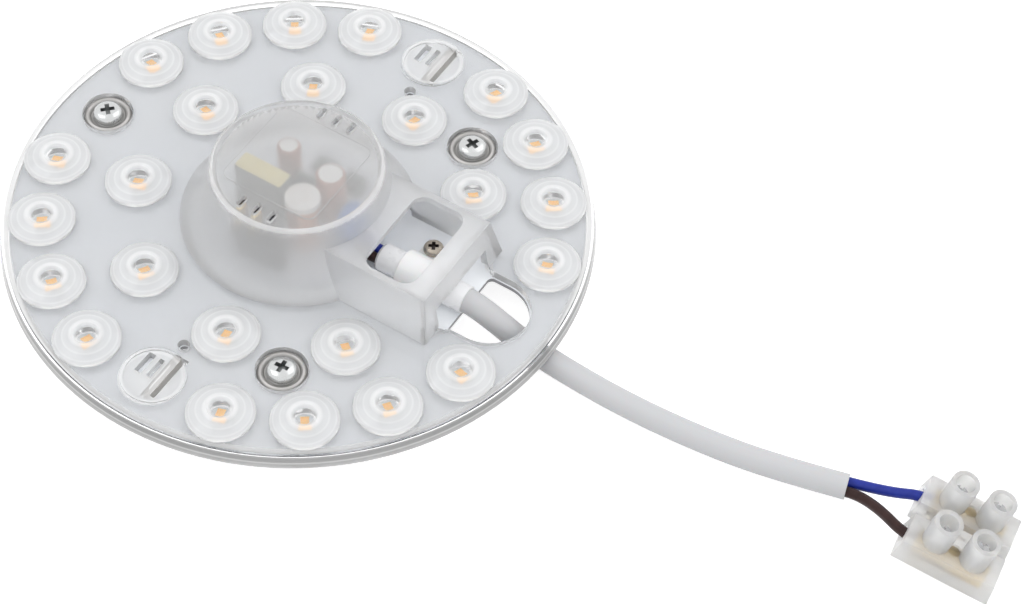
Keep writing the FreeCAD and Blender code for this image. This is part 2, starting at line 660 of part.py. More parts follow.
clamp_long = s.clamp_end - s.clamp_start
saddle_radius = sleeve_radius + s.clamp_wall
saddle = cylinder("saddle", saddle_radius * 2, clamp_long)
turn(saddle, (0, 1, 0), 90)
place(saddle, s.clamp_start, s.cable_side, cable_axis)
saddle_legs = block("saddle_legs", clamp_long, saddle_radius * 2, sleeve_radius,
                    s.clamp_start, s.cable_side - saddle_radius, board_top)
foot_long = s.clamp_head_dia + 0.4
foot = block("clamp_foot_pad", foot_long, s.clamp_screw_y + s.clamp_head_dia / 2 - s.cable_side,
             s.clamp_foot, s.clamp_screw_x - foot_long / 2, s.cable_side, board_top)
clamp_bore = cylinder("clamp_bore", sleeve_radius * 2, clamp_long + 2)
turn(clamp_bore, (0, 1, 0), 90)
place(clamp_bore, s.clamp_start - 1, s.cable_side, cable_axis)
clamp_channel = block("clamp_channel", clamp_long + 2, sleeve_radius * 2, sleeve_radius + 1,
                      s.clamp_start - 1, s.cable_side - sleeve_radius, board_top - 1)
below_board = block("clamp_below", clamp_long + 2, 20, 6, s.clamp_start - 1, s.cable_side - 10, board_top - 6)
clamp_screw_hole = cylinder("clamp_screw_hole", s.clamp_thread_dia, 8, s.clamp_screw_x, s.clamp_screw_y,
                            board_top - 1)
cable_clamp = cut("cable_clamp", fuse("clamp_blank", [saddle, saddle_legs, foot]),
                  [clamp_bore, clamp_channel, below_board, clamp_screw_hole])

clamp_shank = s.clamp_foot + s.board_thick + 0.6
clamp_screw_blank = revolve("clamp_screw_blank", profile("clamp_screw_profile", [
    (0, -clamp_shank), (s.clamp_thread_dia / 2, -clamp_shank), (s.clamp_thread_dia / 2, 0),
    (s.clamp_head_dia / 2, 0), (s.clamp_head_dia / 2, s.clamp_head_high - 0.9, s.clamp_head_dia * 0.8),
    (s.clamp_head_dia / 2 - 1.1, s.clamp_head_high), (0, s.clamp_head_high),
], upright=True))
clamp_cross = [centred("clamp_cross_" + tag, a, b, 2, 0, 0, s.clamp_head_high - 1.0)
               for tag, a, b in (("a", 2.8, 0.8), ("b", 0.8, 2.8))]
clamp_screw = cut("clamp_screw", clamp_screw_blank, clamp_cross)
turn(clamp_screw, (0, 0, 1), 30.0)
place(clamp_screw, s.clamp_screw_x, s.clamp_screw_y, board_top + s.clamp_foot)

# Cable, its sleeve and its cores


def rounded_route(name, points):
    """Straight runs joined by tangent arcs, each as large as its two runs allow."""
    edges = []
    last = points[0]
    radii = []
    for before, corner, after in zip(points, points[1:], points[2:]):
        back = before - corner
        ahead = after - corner
        reach = 0.45 * min(back.Length, ahead.Length)
        back.normalize()
        ahead.normalize()
        turn_angle = math.pi - back.getAngle(ahead)
        radii.append(reach / math.tan(turn_angle / 2.0))
        first = corner + back * reach
        second = corner + ahead * reach
        inward = back + ahead
        inward.normalize()
        rise = radii[-1] / math.cos(turn_angle / 2.0) - radii[-1]
        edges.append(Part.LineSegment(last, first).toShape())
        edges.append(Part.Arc(first, corner + inward * rise, second).toShape())
        last = second
    edges.append(Part.LineSegment(last, points[-1]).toShape())
    print(name, "radii", " ".join("%.1f" % r for r in radii))
    return Part.Wire(edges)


def cord(name, points, dia):
    """A round cord along a route, compared with its section times its length."""
    route = rounded_route(name, points)
    start = (points[1] - points[0]).normalize()
    ring = Part.Wire(Part.Circle(points[0], start, dia.value / 2.0).toShape())
    solid = Part.makeSolid(route.makePipeShell([ring], True, False))
    expected = math.pi * dia.value ** 2 / 4.0 * route.Length
    if abs(solid.Volume - expected) > 0.01 * expected:
        raise RuntimeError("%s has volume %.1f instead of %.1f" % (name, solid.Volume, expected))
    thing = doc.addObject("Part::Feature", name)
    thing.Shape = solid
    return thing


box_line = s.cable_side.value
in_box = cable_axis.value
on_table = s.cable_dia.value / 2.0 + 0.05
cable_points = [
    Vector(s.sleeve_start.value - 0.5, box_line, in_box),
    Vector(43.9, box_line, in_box),
    Vector(49.2, 0.1, 6.8),
    Vector(55.4, 0.9, on_table),
    Vector(66.0, -0.25, on_table),
    Vector(81.0, -0.8, on_table),
    Vector(97.0, 0.1, on_table),
    Vector(112.3, 2.3, on_table),
    Vector(127.35, 6.3, on_table),
]
power_cable = cord("power_cable", cable_points, s.cable_dia)

cable_sleeve_outside = cylinder("sleeve_outside", sleeve_radius * 2, s.sleeve_end - s.sleeve_start)
turn(cable_sleeve_outside, (0, 1, 0), 90)
place(cable_sleeve_outside, s.sleeve_start, s.cable_side, cable_axis)
cable_sleeve_bore = cylinder("sleeve_bore", s.cable_dia, s.sleeve_end - s.sleeve_start + 2)
turn(cable_sleeve_bore, (0, 1, 0), 90)
place(cable_sleeve_bore, s.sleeve_start - 1, s.cable_side, cable_axis)
cable_sleeve = cut("cable_sleeve", cable_sleeve_outside, [cable_sleeve_bore])

core_side = s.core_dia / 2 + 0.1


def inner_core(name, side):
    """The stretch of a core from the end of the jacket to the driver board."""
    core = cylinder(name, s.core_dia, s.sleeve_start - 0.5 - 16.0)
    turn(core, (0, 1, 0), 90)
    return place(core, 16.0, s.cable_side + core_side * side, cable_axis)


blue_core_inner = inner_core("blue_core_inner", 1)
brown_core_inner = inner_core("brown_core_inner", -1)

# Terminal block: two poles on a web, drafted ends, screw towers, brass inserts and screws.
# It is drawn on its own axes, with the wires along X, and then tipped as the stiff cores hold it.


def pole(number, side):
    y = s.pole_pitch / 2 * side
    length = s.block_long / 2
    body = wedge("pole_%d" % number, 0, s.pole_high,
                 (-length, length, s.pole_wide / 2),
                 (s.pole_draft - length, length - s.pole_draft, s.pole_wide / 2 - s.pole_draft / 2))
    body.Placement = App.Placement(Vector(), App.Rotation(Vector(1, 0, 0), 90))
    place(body, 0, y, 0)
    towers = [cylinder("tower_%d%s" % (number, tag), s.tower_dia, s.tower_top - 1,
                       s.tower_pitch / 2 * way, y, 1)
              for tag, way in (("a", -1), ("b", 1))]
    return [body] + towers


block_solids = pole(1, -1) + pole(2, 1)
block_solids.append(centred("web", s.web_long, s.pole_pitch, s.web_high, 0, 0, 0))
block_bores = []
for number, side in ((1, -1), (2, 1)):
    y = s.pole_pitch / 2 * side
    for tag, way in (("a", -1), ("b", 1)):
        block_bores.append(cylinder("tower_bore_%d%s" % (number, tag), s.tower_bore, s.tower_top,
                                    s.tower_pitch / 2 * way, y, s.wire_axis))
    insert_room = cylinder("insert_room_%d" % number, s.insert_dia, s.insert_long)
    turn(insert_room, (0, 1, 0), 90)
    place(insert_room, -s.insert_long / 2, y, s.wire_axis)
    entry = cylinder("entry_%d" % number, s.entry_dia, s.block_long + 2)
    turn(entry, (0, 1, 0), 90)
    place(entry, -s.block_long / 2 - 1, y, s.wire_axis)
    block_bores += [insert_room, entry]
    block_bores.append(cylinder("fixing_%d" % number, s.fixing_dia, 3, 0, y,
                                s.wire_axis + s.insert_dia / 2))
terminal_block = cut("terminal_block", fuse("block_blank", block_solids), block_bores)

inserts = []
for number, side in ((1, -1), (2, 1)):
    y = s.pole_pitch / 2 * side
    tube = cylinder("insert_tube_%d" % number, s.insert_dia, s.insert_long)
    turn(tube, (0, 1, 0), 90)
    place(tube, -s.insert_long / 2, y, s.wire_axis)
    bore = cylinder("insert_bore_%d" % number, s.wire_bore, s.insert_long + 2)
    turn(bore, (0, 1, 0), 90)
    place(bore, -s.insert_long / 2 - 1, y, s.wire_axis)
    threads = [cylinder("insert_thread_%d%s" % (number, tag), s.grub_dia, s.insert_dia,
                        s.tower_pitch / 2 * way, y, s.wire_axis)
               for tag, way in (("a", -1), ("b", 1))]
    inserts.append(cut("brass_insert_%d" % number, tube, [bore] + threads))

grubs = []
for number, side in ((1, -1), (2, 1)):
    for tag, way in (("a", -1), ("b", 1)):
        x = s.tower_pitch / 2 * way
        y = s.pole_pitch / 2 * side
        unused_side = 0.8 if way > 0 else 0.0
        low = s.wire_axis + s.wire_bore / 2 - 0.4 + unused_side
        shank = cylinder("grub_shank_%d%s" % (number, tag), s.grub_dia, 3.6, x, y, low)
        head = cylinder("grub_head_%d%s" % (number, tag), s.grub_head_dia, 2.2, x, y, low + 3.4)
        groove = centred("grub_slot_%d%s" % (number, tag), 0.7, 4.4, 2, x, y, low + 4.9)
        grubs.append(cut("grub_%d%s" % (number, tag), fuse("grub_blank_%d%s" % (number, tag), [shank, head]),
                         [groove]))
terminal_screws = doc.addObject("Part::Compound", "terminal_screws")
terminal_screws.Links = grubs

# The stiff cores hold the wire side of the block up, and its far lower edge lies on the table.
block_yaw = 7.2
block_pitch = 10.7
along_block = App.Rotation(Vector(0, 0, 1), block_yaw).multiply(App.Rotation(Vector(0, 1, 0), block_pitch))
half_long = s.block_long.value / 2.0
tipped = App.Placement(
    Vector(150.93, 6.13, half_long * math.sin(math.radians(block_pitch))), along_block)
for piece in [terminal_block, terminal_screws] + inserts:
    piece.Placement = tipped


def entry_point(side, inward):
    """A point on a wire bore, inward from the end face of the block."""
    return tipped.multVec(Vector(inward - half_long, s.pole_pitch.value / 2.0 * side, s.wire_axis.value))


jacket_end = cable_points[-1]
heading = (cable_points[-1] - cable_points[-2]).normalize()
sideways = Vector(-heading.y, heading.x, 0) * core_side.value
blue_start = jacket_end + sideways
brown_start = jacket_end - sideways
blue_core_outer = cord("blue_core_outer", [
    blue_start,
    blue_start + heading * 3.0,
    Vector(136.4, 9.15, 4.5),
    entry_point(1, 0.6),
    entry_point(1, 4.2),
], s.core_dia)
brown_core_outer = cord("brown_core_outer", [
    brown_start,
    brown_start + heading * 2.6,
    Vector(136.0, 3.6, 4.9),
    entry_point(-1, 0.35),
    entry_point(-1, 4.2),
], s.core_dia)

# Check every object, then write one STEP file for each piece

doc.recompute()
broken = [thing.Name for thing in doc.Objects if "Invalid" in thing.State or "Error" in thing.State]
if broken:
    raise RuntimeError("not rebuilt: " + ", ".join(broken))

pieces = [
    lens_cover, led_board, driver_board, driver_pins, film_capacitor, small_capacitor, large_capacitor,
    choke_core, choke_coil, varistor, driver_chip, bridge_rectifier,
    cable_clamp, clamp_screw, cable_sleeve, power_cable,
    blue_core_inner, brown_core_inner, blue_core_outer, brown_core_outer,
    terminal_block, terminal_screws,
] + leds + pots + magnets + screws + cups + inserts

os.makedirs("parts", exist_ok=True)
total = 0.0
for piece in pieces:
    piece.Label = piece.Name
    shape = piece.Shape
    if shape.isNull() or not shape.isValid():
        raise RuntimeError(piece.Name + " has no valid shape")
    if not shape.Solids:
        raise RuntimeError(piece.Name + " has no solid")
    shape.exportStep("parts/%s.step" % piece.Label)
    total += shape.Volume
    box_of = shape.BoundBox
    print("%-18s solids %d  volume %8.1f  x %.2f..%.2f  y %.2f..%.2f  z %.2f..%.2f" % (
        piece.Label, len(shape.Solids), shape.Volume, box_of.XMin, box_of.XMax, box_of.YMin, box_of.YMax,
        box_of.ZMin, box_of.ZMax))
print("pieces", len(pieces), "volume", round(total, 1))
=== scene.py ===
import bpy
import bmesh
import math
from mathutils import Matrix, Vector


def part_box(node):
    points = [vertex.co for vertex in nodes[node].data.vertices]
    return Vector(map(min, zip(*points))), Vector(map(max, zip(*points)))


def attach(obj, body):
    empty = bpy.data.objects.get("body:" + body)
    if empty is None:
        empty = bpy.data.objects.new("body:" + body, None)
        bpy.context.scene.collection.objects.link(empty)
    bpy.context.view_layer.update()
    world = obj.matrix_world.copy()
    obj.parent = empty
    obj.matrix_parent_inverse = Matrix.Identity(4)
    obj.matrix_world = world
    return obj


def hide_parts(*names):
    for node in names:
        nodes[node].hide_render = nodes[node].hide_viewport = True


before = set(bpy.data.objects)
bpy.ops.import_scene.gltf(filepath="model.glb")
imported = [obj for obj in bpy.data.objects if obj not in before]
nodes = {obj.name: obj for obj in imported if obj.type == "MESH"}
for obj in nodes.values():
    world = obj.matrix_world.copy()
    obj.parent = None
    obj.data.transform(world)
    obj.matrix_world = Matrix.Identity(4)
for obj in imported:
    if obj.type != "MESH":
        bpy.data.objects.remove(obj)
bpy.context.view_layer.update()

scene = bpy.context.scene

# Camera: where the photograph was taken from, above and beside the cable end of the module.
# It looks down at fifty degrees, with the whole disc and the terminal block in the frame.
camera_data = bpy.data.cameras.new("studio_camera")
camera_data.sensor_width = 36.0
camera_data.lens = 92.07
camera_data.clip_start = 0.01
camera_data.clip_end = 20.0
camera = bpy.data.objects.new("studio_camera", camera_data)
camera.location = (0.211245, -0.280235, 0.434370)
camera.rotation_euler = (math.radians(37.5401), math.radians(-1.9296), math.radians(32.0621))
scene.collection.objects.link(camera)
scene.camera = camera
scene.view_settings.view_transform = "Standard"


# Magnet pots and magnets: nickel-plated steel cups with a neodymium disc pressed in, which hold the module
# to the steel pan of a ceiling light. The plating is slightly satin with fine turning marks.
def new_finish(name, color, roughness, metallic=0.0):
    """A finish with its shader, ready for its own detail."""
    finish = bpy.data.materials.new(name)
    finish.use_nodes = True
    shader = finish.node_tree.nodes["Principled BSDF"]
    shader.inputs["Base Color"].default_value = (*color, 1.0)
    shader.inputs["Roughness"].default_value = roughness
    shader.inputs["Metallic"].default_value = metallic
    return finish, shader


def grain(finish, scale, detail=3.0, stretch=(1.0, 1.0, 1.0)):
    """Noise on the object's own coordinates, for a finish's colour, gloss or bump."""
    tree = finish.node_tree
    coordinates = tree.nodes.new("ShaderNodeTexCoord")
    mapping = tree.nodes.new("ShaderNodeMapping")
    mapping.inputs["Scale"].default_value = stretch
    noise = tree.nodes.new("ShaderNodeTexNoise")
    noise.inputs["Scale"].default_value = scale
    noise.inputs["Detail"].default_value = detail
    tree.links.new(coordinates.outputs["Object"], mapping.inputs["Vector"])
    tree.links.new(mapping.outputs["Vector"], noise.inputs["Vector"])
    return noise.outputs["Fac"]


def spread(finish, source, low, high, target):
    """Maps a grey value to a span and feeds it to a shader input."""
    tree = finish.node_tree
    span = tree.nodes.new("ShaderNodeMapRange")
    span.inputs["From Min"].default_value = 0.3
    span.inputs["From Max"].default_value = 0.7
    span.inputs["To Min"].default_value = low
    span.inputs["To Max"].default_value = high
    tree.links.new(source, span.inputs["Value"])
    tree.links.new(span.outputs["Result"], target)


def tint(finish, source, dark, light, target):
    """Mixes two colours by a grey value."""
    tree = finish.node_tree
    ramp = tree.nodes.new("ShaderNodeValToRGB")
    ramp.color_ramp.elements[0].position = 0.3
    ramp.color_ramp.elements[0].color = (*dark, 1.0)
    ramp.color_ramp.elements[1].position = 0.7
    ramp.color_ramp.elements[1].color = (*light, 1.0)
    tree.links.new(source, ramp.inputs["Fac"])
    tree.links.new(ramp.outputs["Color"], target)


def relief(finish, shader, source, depth, strength=0.3):
    """Raises a fine bump, its depth in metres."""
    tree = finish.node_tree
    bump = tree.nodes.new("ShaderNodeBump")
    bump.inputs["Strength"].default_value = strength
    bump.inputs["Distance"].default_value = depth
    tree.links.new(source, bump.inputs["Height"])
    tree.links.new(bump.outputs["Normal"], shader.inputs["Normal"])


def dress(node, finish):
    """Gives a CAD node its finish."""
    thing = nodes[node]
    thing.data.materials.clear()
    thing.data.materials.append(finish)


pot_steel, pot_shader = new_finish("nickel_plated_pot", (0.62, 0.62, 0.63), 0.3, 1.0)
turning_marks = grain(pot_steel, 900.0, 2.0, (1.0, 1.0, 0.05))
spread(pot_steel, turning_marks, 0.22, 0.42, pot_shader.inputs["Roughness"])
tint(pot_steel, grain(pot_steel, 160.0), (0.52, 0.52, 0.54), (0.68, 0.68, 0.68),
     pot_shader.inputs["Base Color"])

magnet_skin, magnet_shader = new_finish("nickel_magnet", (0.40, 0.40, 0.42), 0.2, 1.0)
spread(magnet_skin, grain(magnet_skin, 400.0), 0.12, 0.3, magnet_shader.inputs["Roughness"])

for number in (1, 2, 3):
    dress("magnet_pot_%d" % number, pot_steel)
    dress("magnet_disc_%d" % number, magnet_skin)


# LED board: a one-millimetre aluminium disc with a bluish white solder mask on its light side.
# Its punched edges and its back are bare metal, dark where the punch tore it.
board_mask, board_shader = new_finish("white_solder_mask", (0.76, 0.79, 0.84), 0.42)
tree = board_mask.node_tree
facing = tree.nodes.new("ShaderNodeNewGeometry")
facing_parts = tree.nodes.new("ShaderNodeSeparateXYZ")
tree.links.new(facing.outputs["Normal"], facing_parts.inputs["Vector"])
light_side = tree.nodes.new("ShaderNodeMath")
light_side.operation = "GREATER_THAN"
light_side.inputs[1].default_value = 0.5
tree.links.new(facing_parts.outputs["Z"], light_side.inputs[0])
mask_tone = tree.nodes.new("ShaderNodeValToRGB")
mask_tone.color_ramp.elements[0].position = 0.35
mask_tone.color_ramp.elements[0].color = (0.90, 0.93, 0.97, 1.0)
mask_tone.color_ramp.elements[1].position = 0.65
mask_tone.color_ramp.elements[1].color = (0.92, 0.945, 0.975, 1.0)
tree.links.new(grain(board_mask, 45.0, 2.0), mask_tone.inputs["Fac"])
board_colour = tree.nodes.new("ShaderNodeMix")
board_colour.data_type = "RGBA"
board_colour.inputs[6].default_value = (0.24, 0.24, 0.25, 1.0)
tree.links.new(light_side.outputs["Value"], board_colour.inputs[0])
tree.links.new(mask_tone.outputs["Color"], board_colour.inputs[7])
tree.links.new(board_colour.outputs[2], board_shader.inputs["Base Color"])
bare_metal = tree.nodes.new("ShaderNodeMath")
bare_metal.operation = "SUBTRACT"
bare_metal.inputs[0].default_value = 1.0
tree.links.new(light_side.outputs["Value"], bare_metal.inputs[1])
tree.links.new(bare_metal.outputs["Value"], board_shader.inputs["Metallic"])
relief(board_mask, board_shader, grain(board_mask, 2500.0, 2.0), 0.00002, 0.15)
dress("led_board", board_mask)


# LEDs: white 3.5 by 2.8 mm packages with a yellow phosphor window, soldered flat under each lens.
# The phosphor is a shallow gel in a rounded window, with a faint painted glow though the LEDs are off.
def finish_piece(name, build, finish, smooth_angle=35.0, keep_shading=False):
    """Turns a bmesh into a piece that rides on the module."""
    bmesh.ops.remove_doubles(build, verts=build.verts, dist=1e-7)
    bmesh.ops.recalc_face_normals(build, faces=build.faces)
    build.faces.index_update()
    flat_faces = [face.index for face in build.faces if keep_shading and not face.smooth]
    mesh = bpy.data.meshes.new(name)
    build.to_mesh(mesh)
    build.free()
    piece = bpy.data.objects.new(name, mesh)
    scene.collection.objects.link(piece)
    for item in (finish if isinstance(finish, (list, tuple)) else [finish]):
        mesh.materials.append(item)
    mesh.set_sharp_from_angle(angle=math.radians(smooth_angle))
    for index in flat_faces:
        mesh.polygons[index].use_smooth = False
    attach(piece, "root")
    return piece


def slab(build, low, high, round_off, segments=2, material=0):
    """A block with rounded edges between two corners, in metres."""
    made = bmesh.ops.create_cube(build, size=1.0)
    verts = made["verts"]
    size = Vector(high) - Vector(low)
    middle = (Vector(high) + Vector(low)) / 2
    bmesh.ops.scale(build, verts=verts, vec=size)
    bmesh.ops.translate(build, verts=verts, vec=middle)
    faces = {face for vert in verts for face in vert.link_faces}
    for face in faces:
        face.material_index = material
    if round_off > 0:
        edges = list({edge for vert in verts for edge in vert.link_edges})
        bevelled = bmesh.ops.bevel(build, geom=edges, offset=round_off, segments=segments, profile=0.5,
                                   affect="EDGES", material=-1, clamp_overlap=True)
        kept = {vert for vert in verts if vert.is_valid}
        verts = list({vert for face in bevelled["faces"] for vert in face.verts} | kept)
    return verts


led_case, led_case_shader = new_finish("led_white_case", (0.86, 0.86, 0.84), 0.35)
spread(led_case, grain(led_case, 900.0), 0.28, 0.45, led_case_shader.inputs["Roughness"])
phosphor, phosphor_shader = new_finish("yellow_phosphor_with_painted_glow", (0.98, 0.46, 0.02), 0.4)
tint(phosphor, grain(phosphor, 1800.0), (0.97, 0.40, 0.01), (1.0, 0.52, 0.03),
     phosphor_shader.inputs["Base Color"])
# Painted glow: the unlit phosphor gets a faint emission to brighten it under the milky lens.
phosphor_shader.inputs["Emission Color"].default_value = (1.0, 0.50, 0.06, 1.0)
phosphor_shader.inputs["Emission Strength"].default_value = 0.3
solder, solder_shader = new_finish("led_solder", (0.70, 0.70, 0.70), 0.3, 1.0)
spread(solder, grain(solder, 1500.0), 0.2, 0.4, solder_shader.inputs["Roughness"])

led_count = 24
led_long, led_wide, led_high = 0.0035, 0.0028, 0.0007
window_long, window_wide = 0.0031, 0.00244
tab_middle, tab_half = 0.00168, 0.00012
for number in range(1, led_count + 1):
    node = "led_%02d" % number
    low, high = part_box(node)
    centre = (low + high) / 2
    heading = math.atan2(centre.y, centre.x)
    build = bmesh.new()
    slab(build, (-led_long / 2, -led_wide / 2, 0.0), (led_long / 2, led_wide / 2, led_high), 0.00012)
    slab(build, (-window_long / 2, -window_wide / 2, led_high - 0.00025),
         (window_long / 2, window_wide / 2, led_high + 0.00002), 0.00018, 3, material=1)
    for side in (-1, 1):
        slab(build, (side * tab_middle - tab_half, -0.0009, 0.0),
             (side * tab_middle + tab_half, 0.0009, 0.00032), 0.00006, 2, material=2)
    bmesh.ops.rotate(build, verts=build.verts, cent=(0, 0, 0), matrix=Matrix.Rotation(heading, 3, "Z"))
    bmesh.ops.translate(build, verts=build.verts, vec=(centre.x, centre.y, low.z))
    lamp = finish_piece("led_lamp_%02d" % number, build, [led_case, phosphor, solder])
    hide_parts(node)


# Driver: a round glass-fibre board under the dome with a pale yellow film capacitor, two cans with white
# tops, a drum choke with copper winding, a blue disc varistor, and two black chips. All are soldered in.
driver_laminate, laminate_shader = new_finish("driver_laminate", (0.70, 0.73, 0.77), 0.5)
tint(driver_laminate, grain(driver_laminate, 260.0, 4.0), (0.64, 0.67, 0.72), (0.76, 0.79, 0.84),
     laminate_shader.inputs["Base Color"])
dress("driver_board", driver_laminate)

tinned, tinned_shader = new_finish("tinned_pins", (0.74, 0.74, 0.73), 0.3, 1.0)
spread(tinned, grain(tinned, 1200.0), 0.2, 0.42, tinned_shader.inputs["Roughness"])
dress("driver_pins", tinned)

film_resin, film_shader = new_finish("yellow_film_resin", (0.78, 0.68, 0.30), 0.45)
tint(film_resin, grain(film_resin, 300.0), (0.74, 0.63, 0.26), (0.82, 0.73, 0.35),
     film_shader.inputs["Base Color"])
film_case, film_case_shader = new_finish("grey_film_case", (0.10, 0.10, 0.10), 0.5)
spread(film_case, grain(film_case, 500.0), 0.42, 0.6, film_case_shader.inputs["Roughness"])
build = bmesh.new()
low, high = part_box("film_capacitor")
slab(build, low, (high.x, high.y, high.z - 0.0004), 0.0005, 3, material=1)
for inset, depth, dip, round_off, segments in (
    (0.0006, 0.0010, 0.0, 0.0003, 2),
    (0.0001, 0.0022, 0.0002, 0.0005, 3),
):
    slab(build, (low.x + inset, low.y + inset, high.z - depth), (high.x - inset, high.y - inset, high.z - dip),
         round_off, segments)
film_block = finish_piece("film_capacitor_case", build, [film_resin, film_case])
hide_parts("film_capacitor")

can_sleeve, can_shader = new_finish("brown_capacitor_sleeve", (0.42, 0.16, 0.10), 0.35)
spread(can_sleeve, grain(can_sleeve, 600.0), 0.25, 0.45, can_shader.inputs["Roughness"])
can_top, can_top_shader = new_finish("white_capacitor_top", (0.90, 0.89, 0.88), 0.4)
spread(can_top, grain(can_top, 600.0), 0.3, 0.5, can_top_shader.inputs["Roughness"])


def turned(build, outline, steps=64):
    """Spins an outline of (radius, height) points about the upright axis, and closes its poles."""
    verts = [build.verts.new((radius, 0.0, height)) for radius, height in outline]
    edges = [build.edges.new((a, b)) for a, b in zip(verts, verts[1:])]
    bmesh.ops.spin(build, geom=verts + edges, cent=(0, 0, 0), axis=(0, 0, 1), angle=2 * math.pi,
                   steps=steps, use_merge=True, use_normal_flip=False, use_duplicate=False, dvec=(0, 0, 0))
    bmesh.ops.remove_doubles(build, verts=build.verts, dist=1e-6)


def spun_piece(name, outline, centre, finish, node):
    """A turned piece that stands for a CAD node."""
    build = bmesh.new()
    turned(build, outline)
    bmesh.ops.translate(build, verts=build.verts, vec=centre)
    piece = finish_piece(name, build, finish)
    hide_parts(node)


for node, cap_name in (("small_capacitor", "small_capacitor_can"), ("large_capacitor", "large_capacitor_can")):
    low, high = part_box(node)
    r = (high.x - low.x) / 2
    tall = high.z - low.z
    build = bmesh.new()
    turned(build, [(0, 0), (r - 0.0003, 0), (r, 0.0003), (r, 0.0012), (r - 0.00025, 0.0016), (r, 0.0020),
                   (r, tall - 0.0007), (r - 0.0003, tall - 0.0002), (r - 0.0006, tall),
                   (r - 0.0007, tall - 0.0003), (0, tall - 0.0003)], 48)
    for face in build.faces:
        middle = face.calc_center_median()
        if middle.z > tall - 0.00035 and math.hypot(middle.x, middle.y) < r - 0.0005:
            face.material_index = 1
    bmesh.ops.translate(build, verts=build.verts, vec=((low.x + high.x) / 2, (low.y + high.y) / 2, low.z))
    can = finish_piece(cap_name, build, [can_sleeve, can_top])
    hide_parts(node)

choke_ferrite, ferrite_shader = new_finish("choke_ferrite", (0.84, 0.82, 0.81), 0.55)
tint(choke_ferrite, grain(choke_ferrite, 500.0), (0.80, 0.76, 0.74), (0.88, 0.87, 0.86),
     ferrite_shader.inputs["Base Color"])
dress("choke_core", choke_ferrite)
copper, copper_shader = new_finish("enamelled_copper", (0.60, 0.25, 0.13), 0.3, 1.0)
turns = copper.node_tree.nodes.new("ShaderNodeTexWave")
turns.wave_type = "BANDS"
turns.bands_direction = "Z"
turns.inputs["Scale"].default_value = 900.0
turn_coordinates = copper.node_tree.nodes.new("ShaderNodeTexCoord")
copper.node_tree.links.new(turn_coordinates.outputs["Object"], turns.inputs["Vector"])
relief(copper, copper_shader, turns.outputs["Fac"], 0.0001, 0.6)
dress("choke_coil", copper)

varistor_coating, varistor_shader = new_finish("blue_epoxy_coating", (0.05, 0.16, 0.50), 0.3)
relief(varistor_coating, varistor_shader, grain(varistor_coating, 400.0), 0.0002, 0.5)
low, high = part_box("varistor")
build = bmesh.new()
radius = (high.y - low.y) / 2
thick = high.x - low.x
turned(build, [(0, 0), (radius - 0.0012, 0), (radius - 0.0004, 0.0004), (radius, 0.0013),
               (radius, thick - 0.0013), (radius - 0.0004, thick - 0.0004), (radius - 0.0012, thick),
               (0, thick)], 40)
bmesh.ops.rotate(build, verts=build.verts, cent=(0, 0, 0), matrix=Matrix.Rotation(math.radians(90), 3, "Y"))
bmesh.ops.translate(build, verts=build.verts, vec=(low.x, (low.y + high.y) / 2, high.z - radius))
slab(build, (low.x + 0.0006, (low.y + high.y) / 2 - 0.0025, low.z),
     (high.x - 0.0006, (low.y + high.y) / 2 + 0.0025, low.z + 0.0030), 0.0004, 2)
varistor_disc = finish_piece("varistor_disc", build, varistor_coating)
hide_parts("varistor")

chip_epoxy, chip_shader = new_finish("black_chip_epoxy", (0.02, 0.02, 0.022), 0.5)
spread(chip_epoxy, grain(chip_epoxy, 1500.0), 0.42, 0.6, chip_shader.inputs["Roughness"])
leg_pitch, leg_half, leg_reach = 0.0011, 0.0002, 0.0007
for node in ("driver_chip", "bridge_rectifier"):
    low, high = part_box(node)
    build = bmesh.new()
    slab(build, low, high, 0.00018, 2)
    for step in (-1.5, -0.5, 0.5, 1.5):
        for side, edge in ((-1, low.y), (1, high.y)):
            x = (low.x + high.x) / 2 + step * leg_pitch
            leg_end = edge + side * leg_reach
            slab(build, (x - leg_half, min(edge, leg_end), low.z + 0.0001),
                 (x + leg_half, max(edge, leg_end), low.z + 0.0003), 0.00005, 1, material=1)
    chip = finish_piece(node + "_package", build, [chip_epoxy, tinned])
    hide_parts(node)

# Two more dark parts that show as shadows through the frost. A black block with two pins in the middle of the
# driver board is painted shade, put where the shade falls between the film capacitor and the small can. A
# terminal strip under the near vents has two brass clamps and a black one that show in the vents, and its
# black body is painted shade for the dark zone below them.
driver_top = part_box("driver_board")[1].z
shade_block_back, shade_block_high = 0.0042, 0.0072
build = bmesh.new()
slab(build, (-0.0027, -0.0004, driver_top), (0.0022, shade_block_back, driver_top + shade_block_high), 0.0005, 3)
for x in (-0.0016, 0.0011):
    slab(build, (x - 0.0003, shade_block_back - 0.0001, driver_top),
         (x + 0.0003, shade_block_back + 0.0003, driver_top + 0.0012), 0.0001, 1, material=1)
finish_piece("driver_shade_block", build, [chip_epoxy, tinned])

strip_brass, strip_brass_shader = new_finish("strip_brass", (0.66, 0.50, 0.20), 0.35, 1.0)
spread(strip_brass, grain(strip_brass, 900.0), 0.25, 0.45, strip_brass_shader.inputs["Roughness"])
strip_front, strip_back, strip_high = -0.0156, -0.0124, 0.0078
vent_pitch, clamp_top = 0.0037, 0.0130
build = bmesh.new()
# Painted shade: the strip's black body stands in for the dark zone under the near vents; the clamps on it are
# the parts seen in the vents.
slab(build, (-0.0056, strip_front, driver_top), (0.0062, strip_back, driver_top + strip_high), 0.0005, 3)
for x, filling in ((-vent_pitch, 1), (0.0, 1), (vent_pitch, 0)):
    slab(build, (x - 0.0009, strip_front + 0.0003, driver_top + strip_high - 0.0008),
         (x + 0.0003, strip_back - 0.0006, driver_top + clamp_top), 0.0002, 2, material=filling)
finish_piece("driver_terminal_strip_and_shade", build, [chip_epoxy, strip_brass])


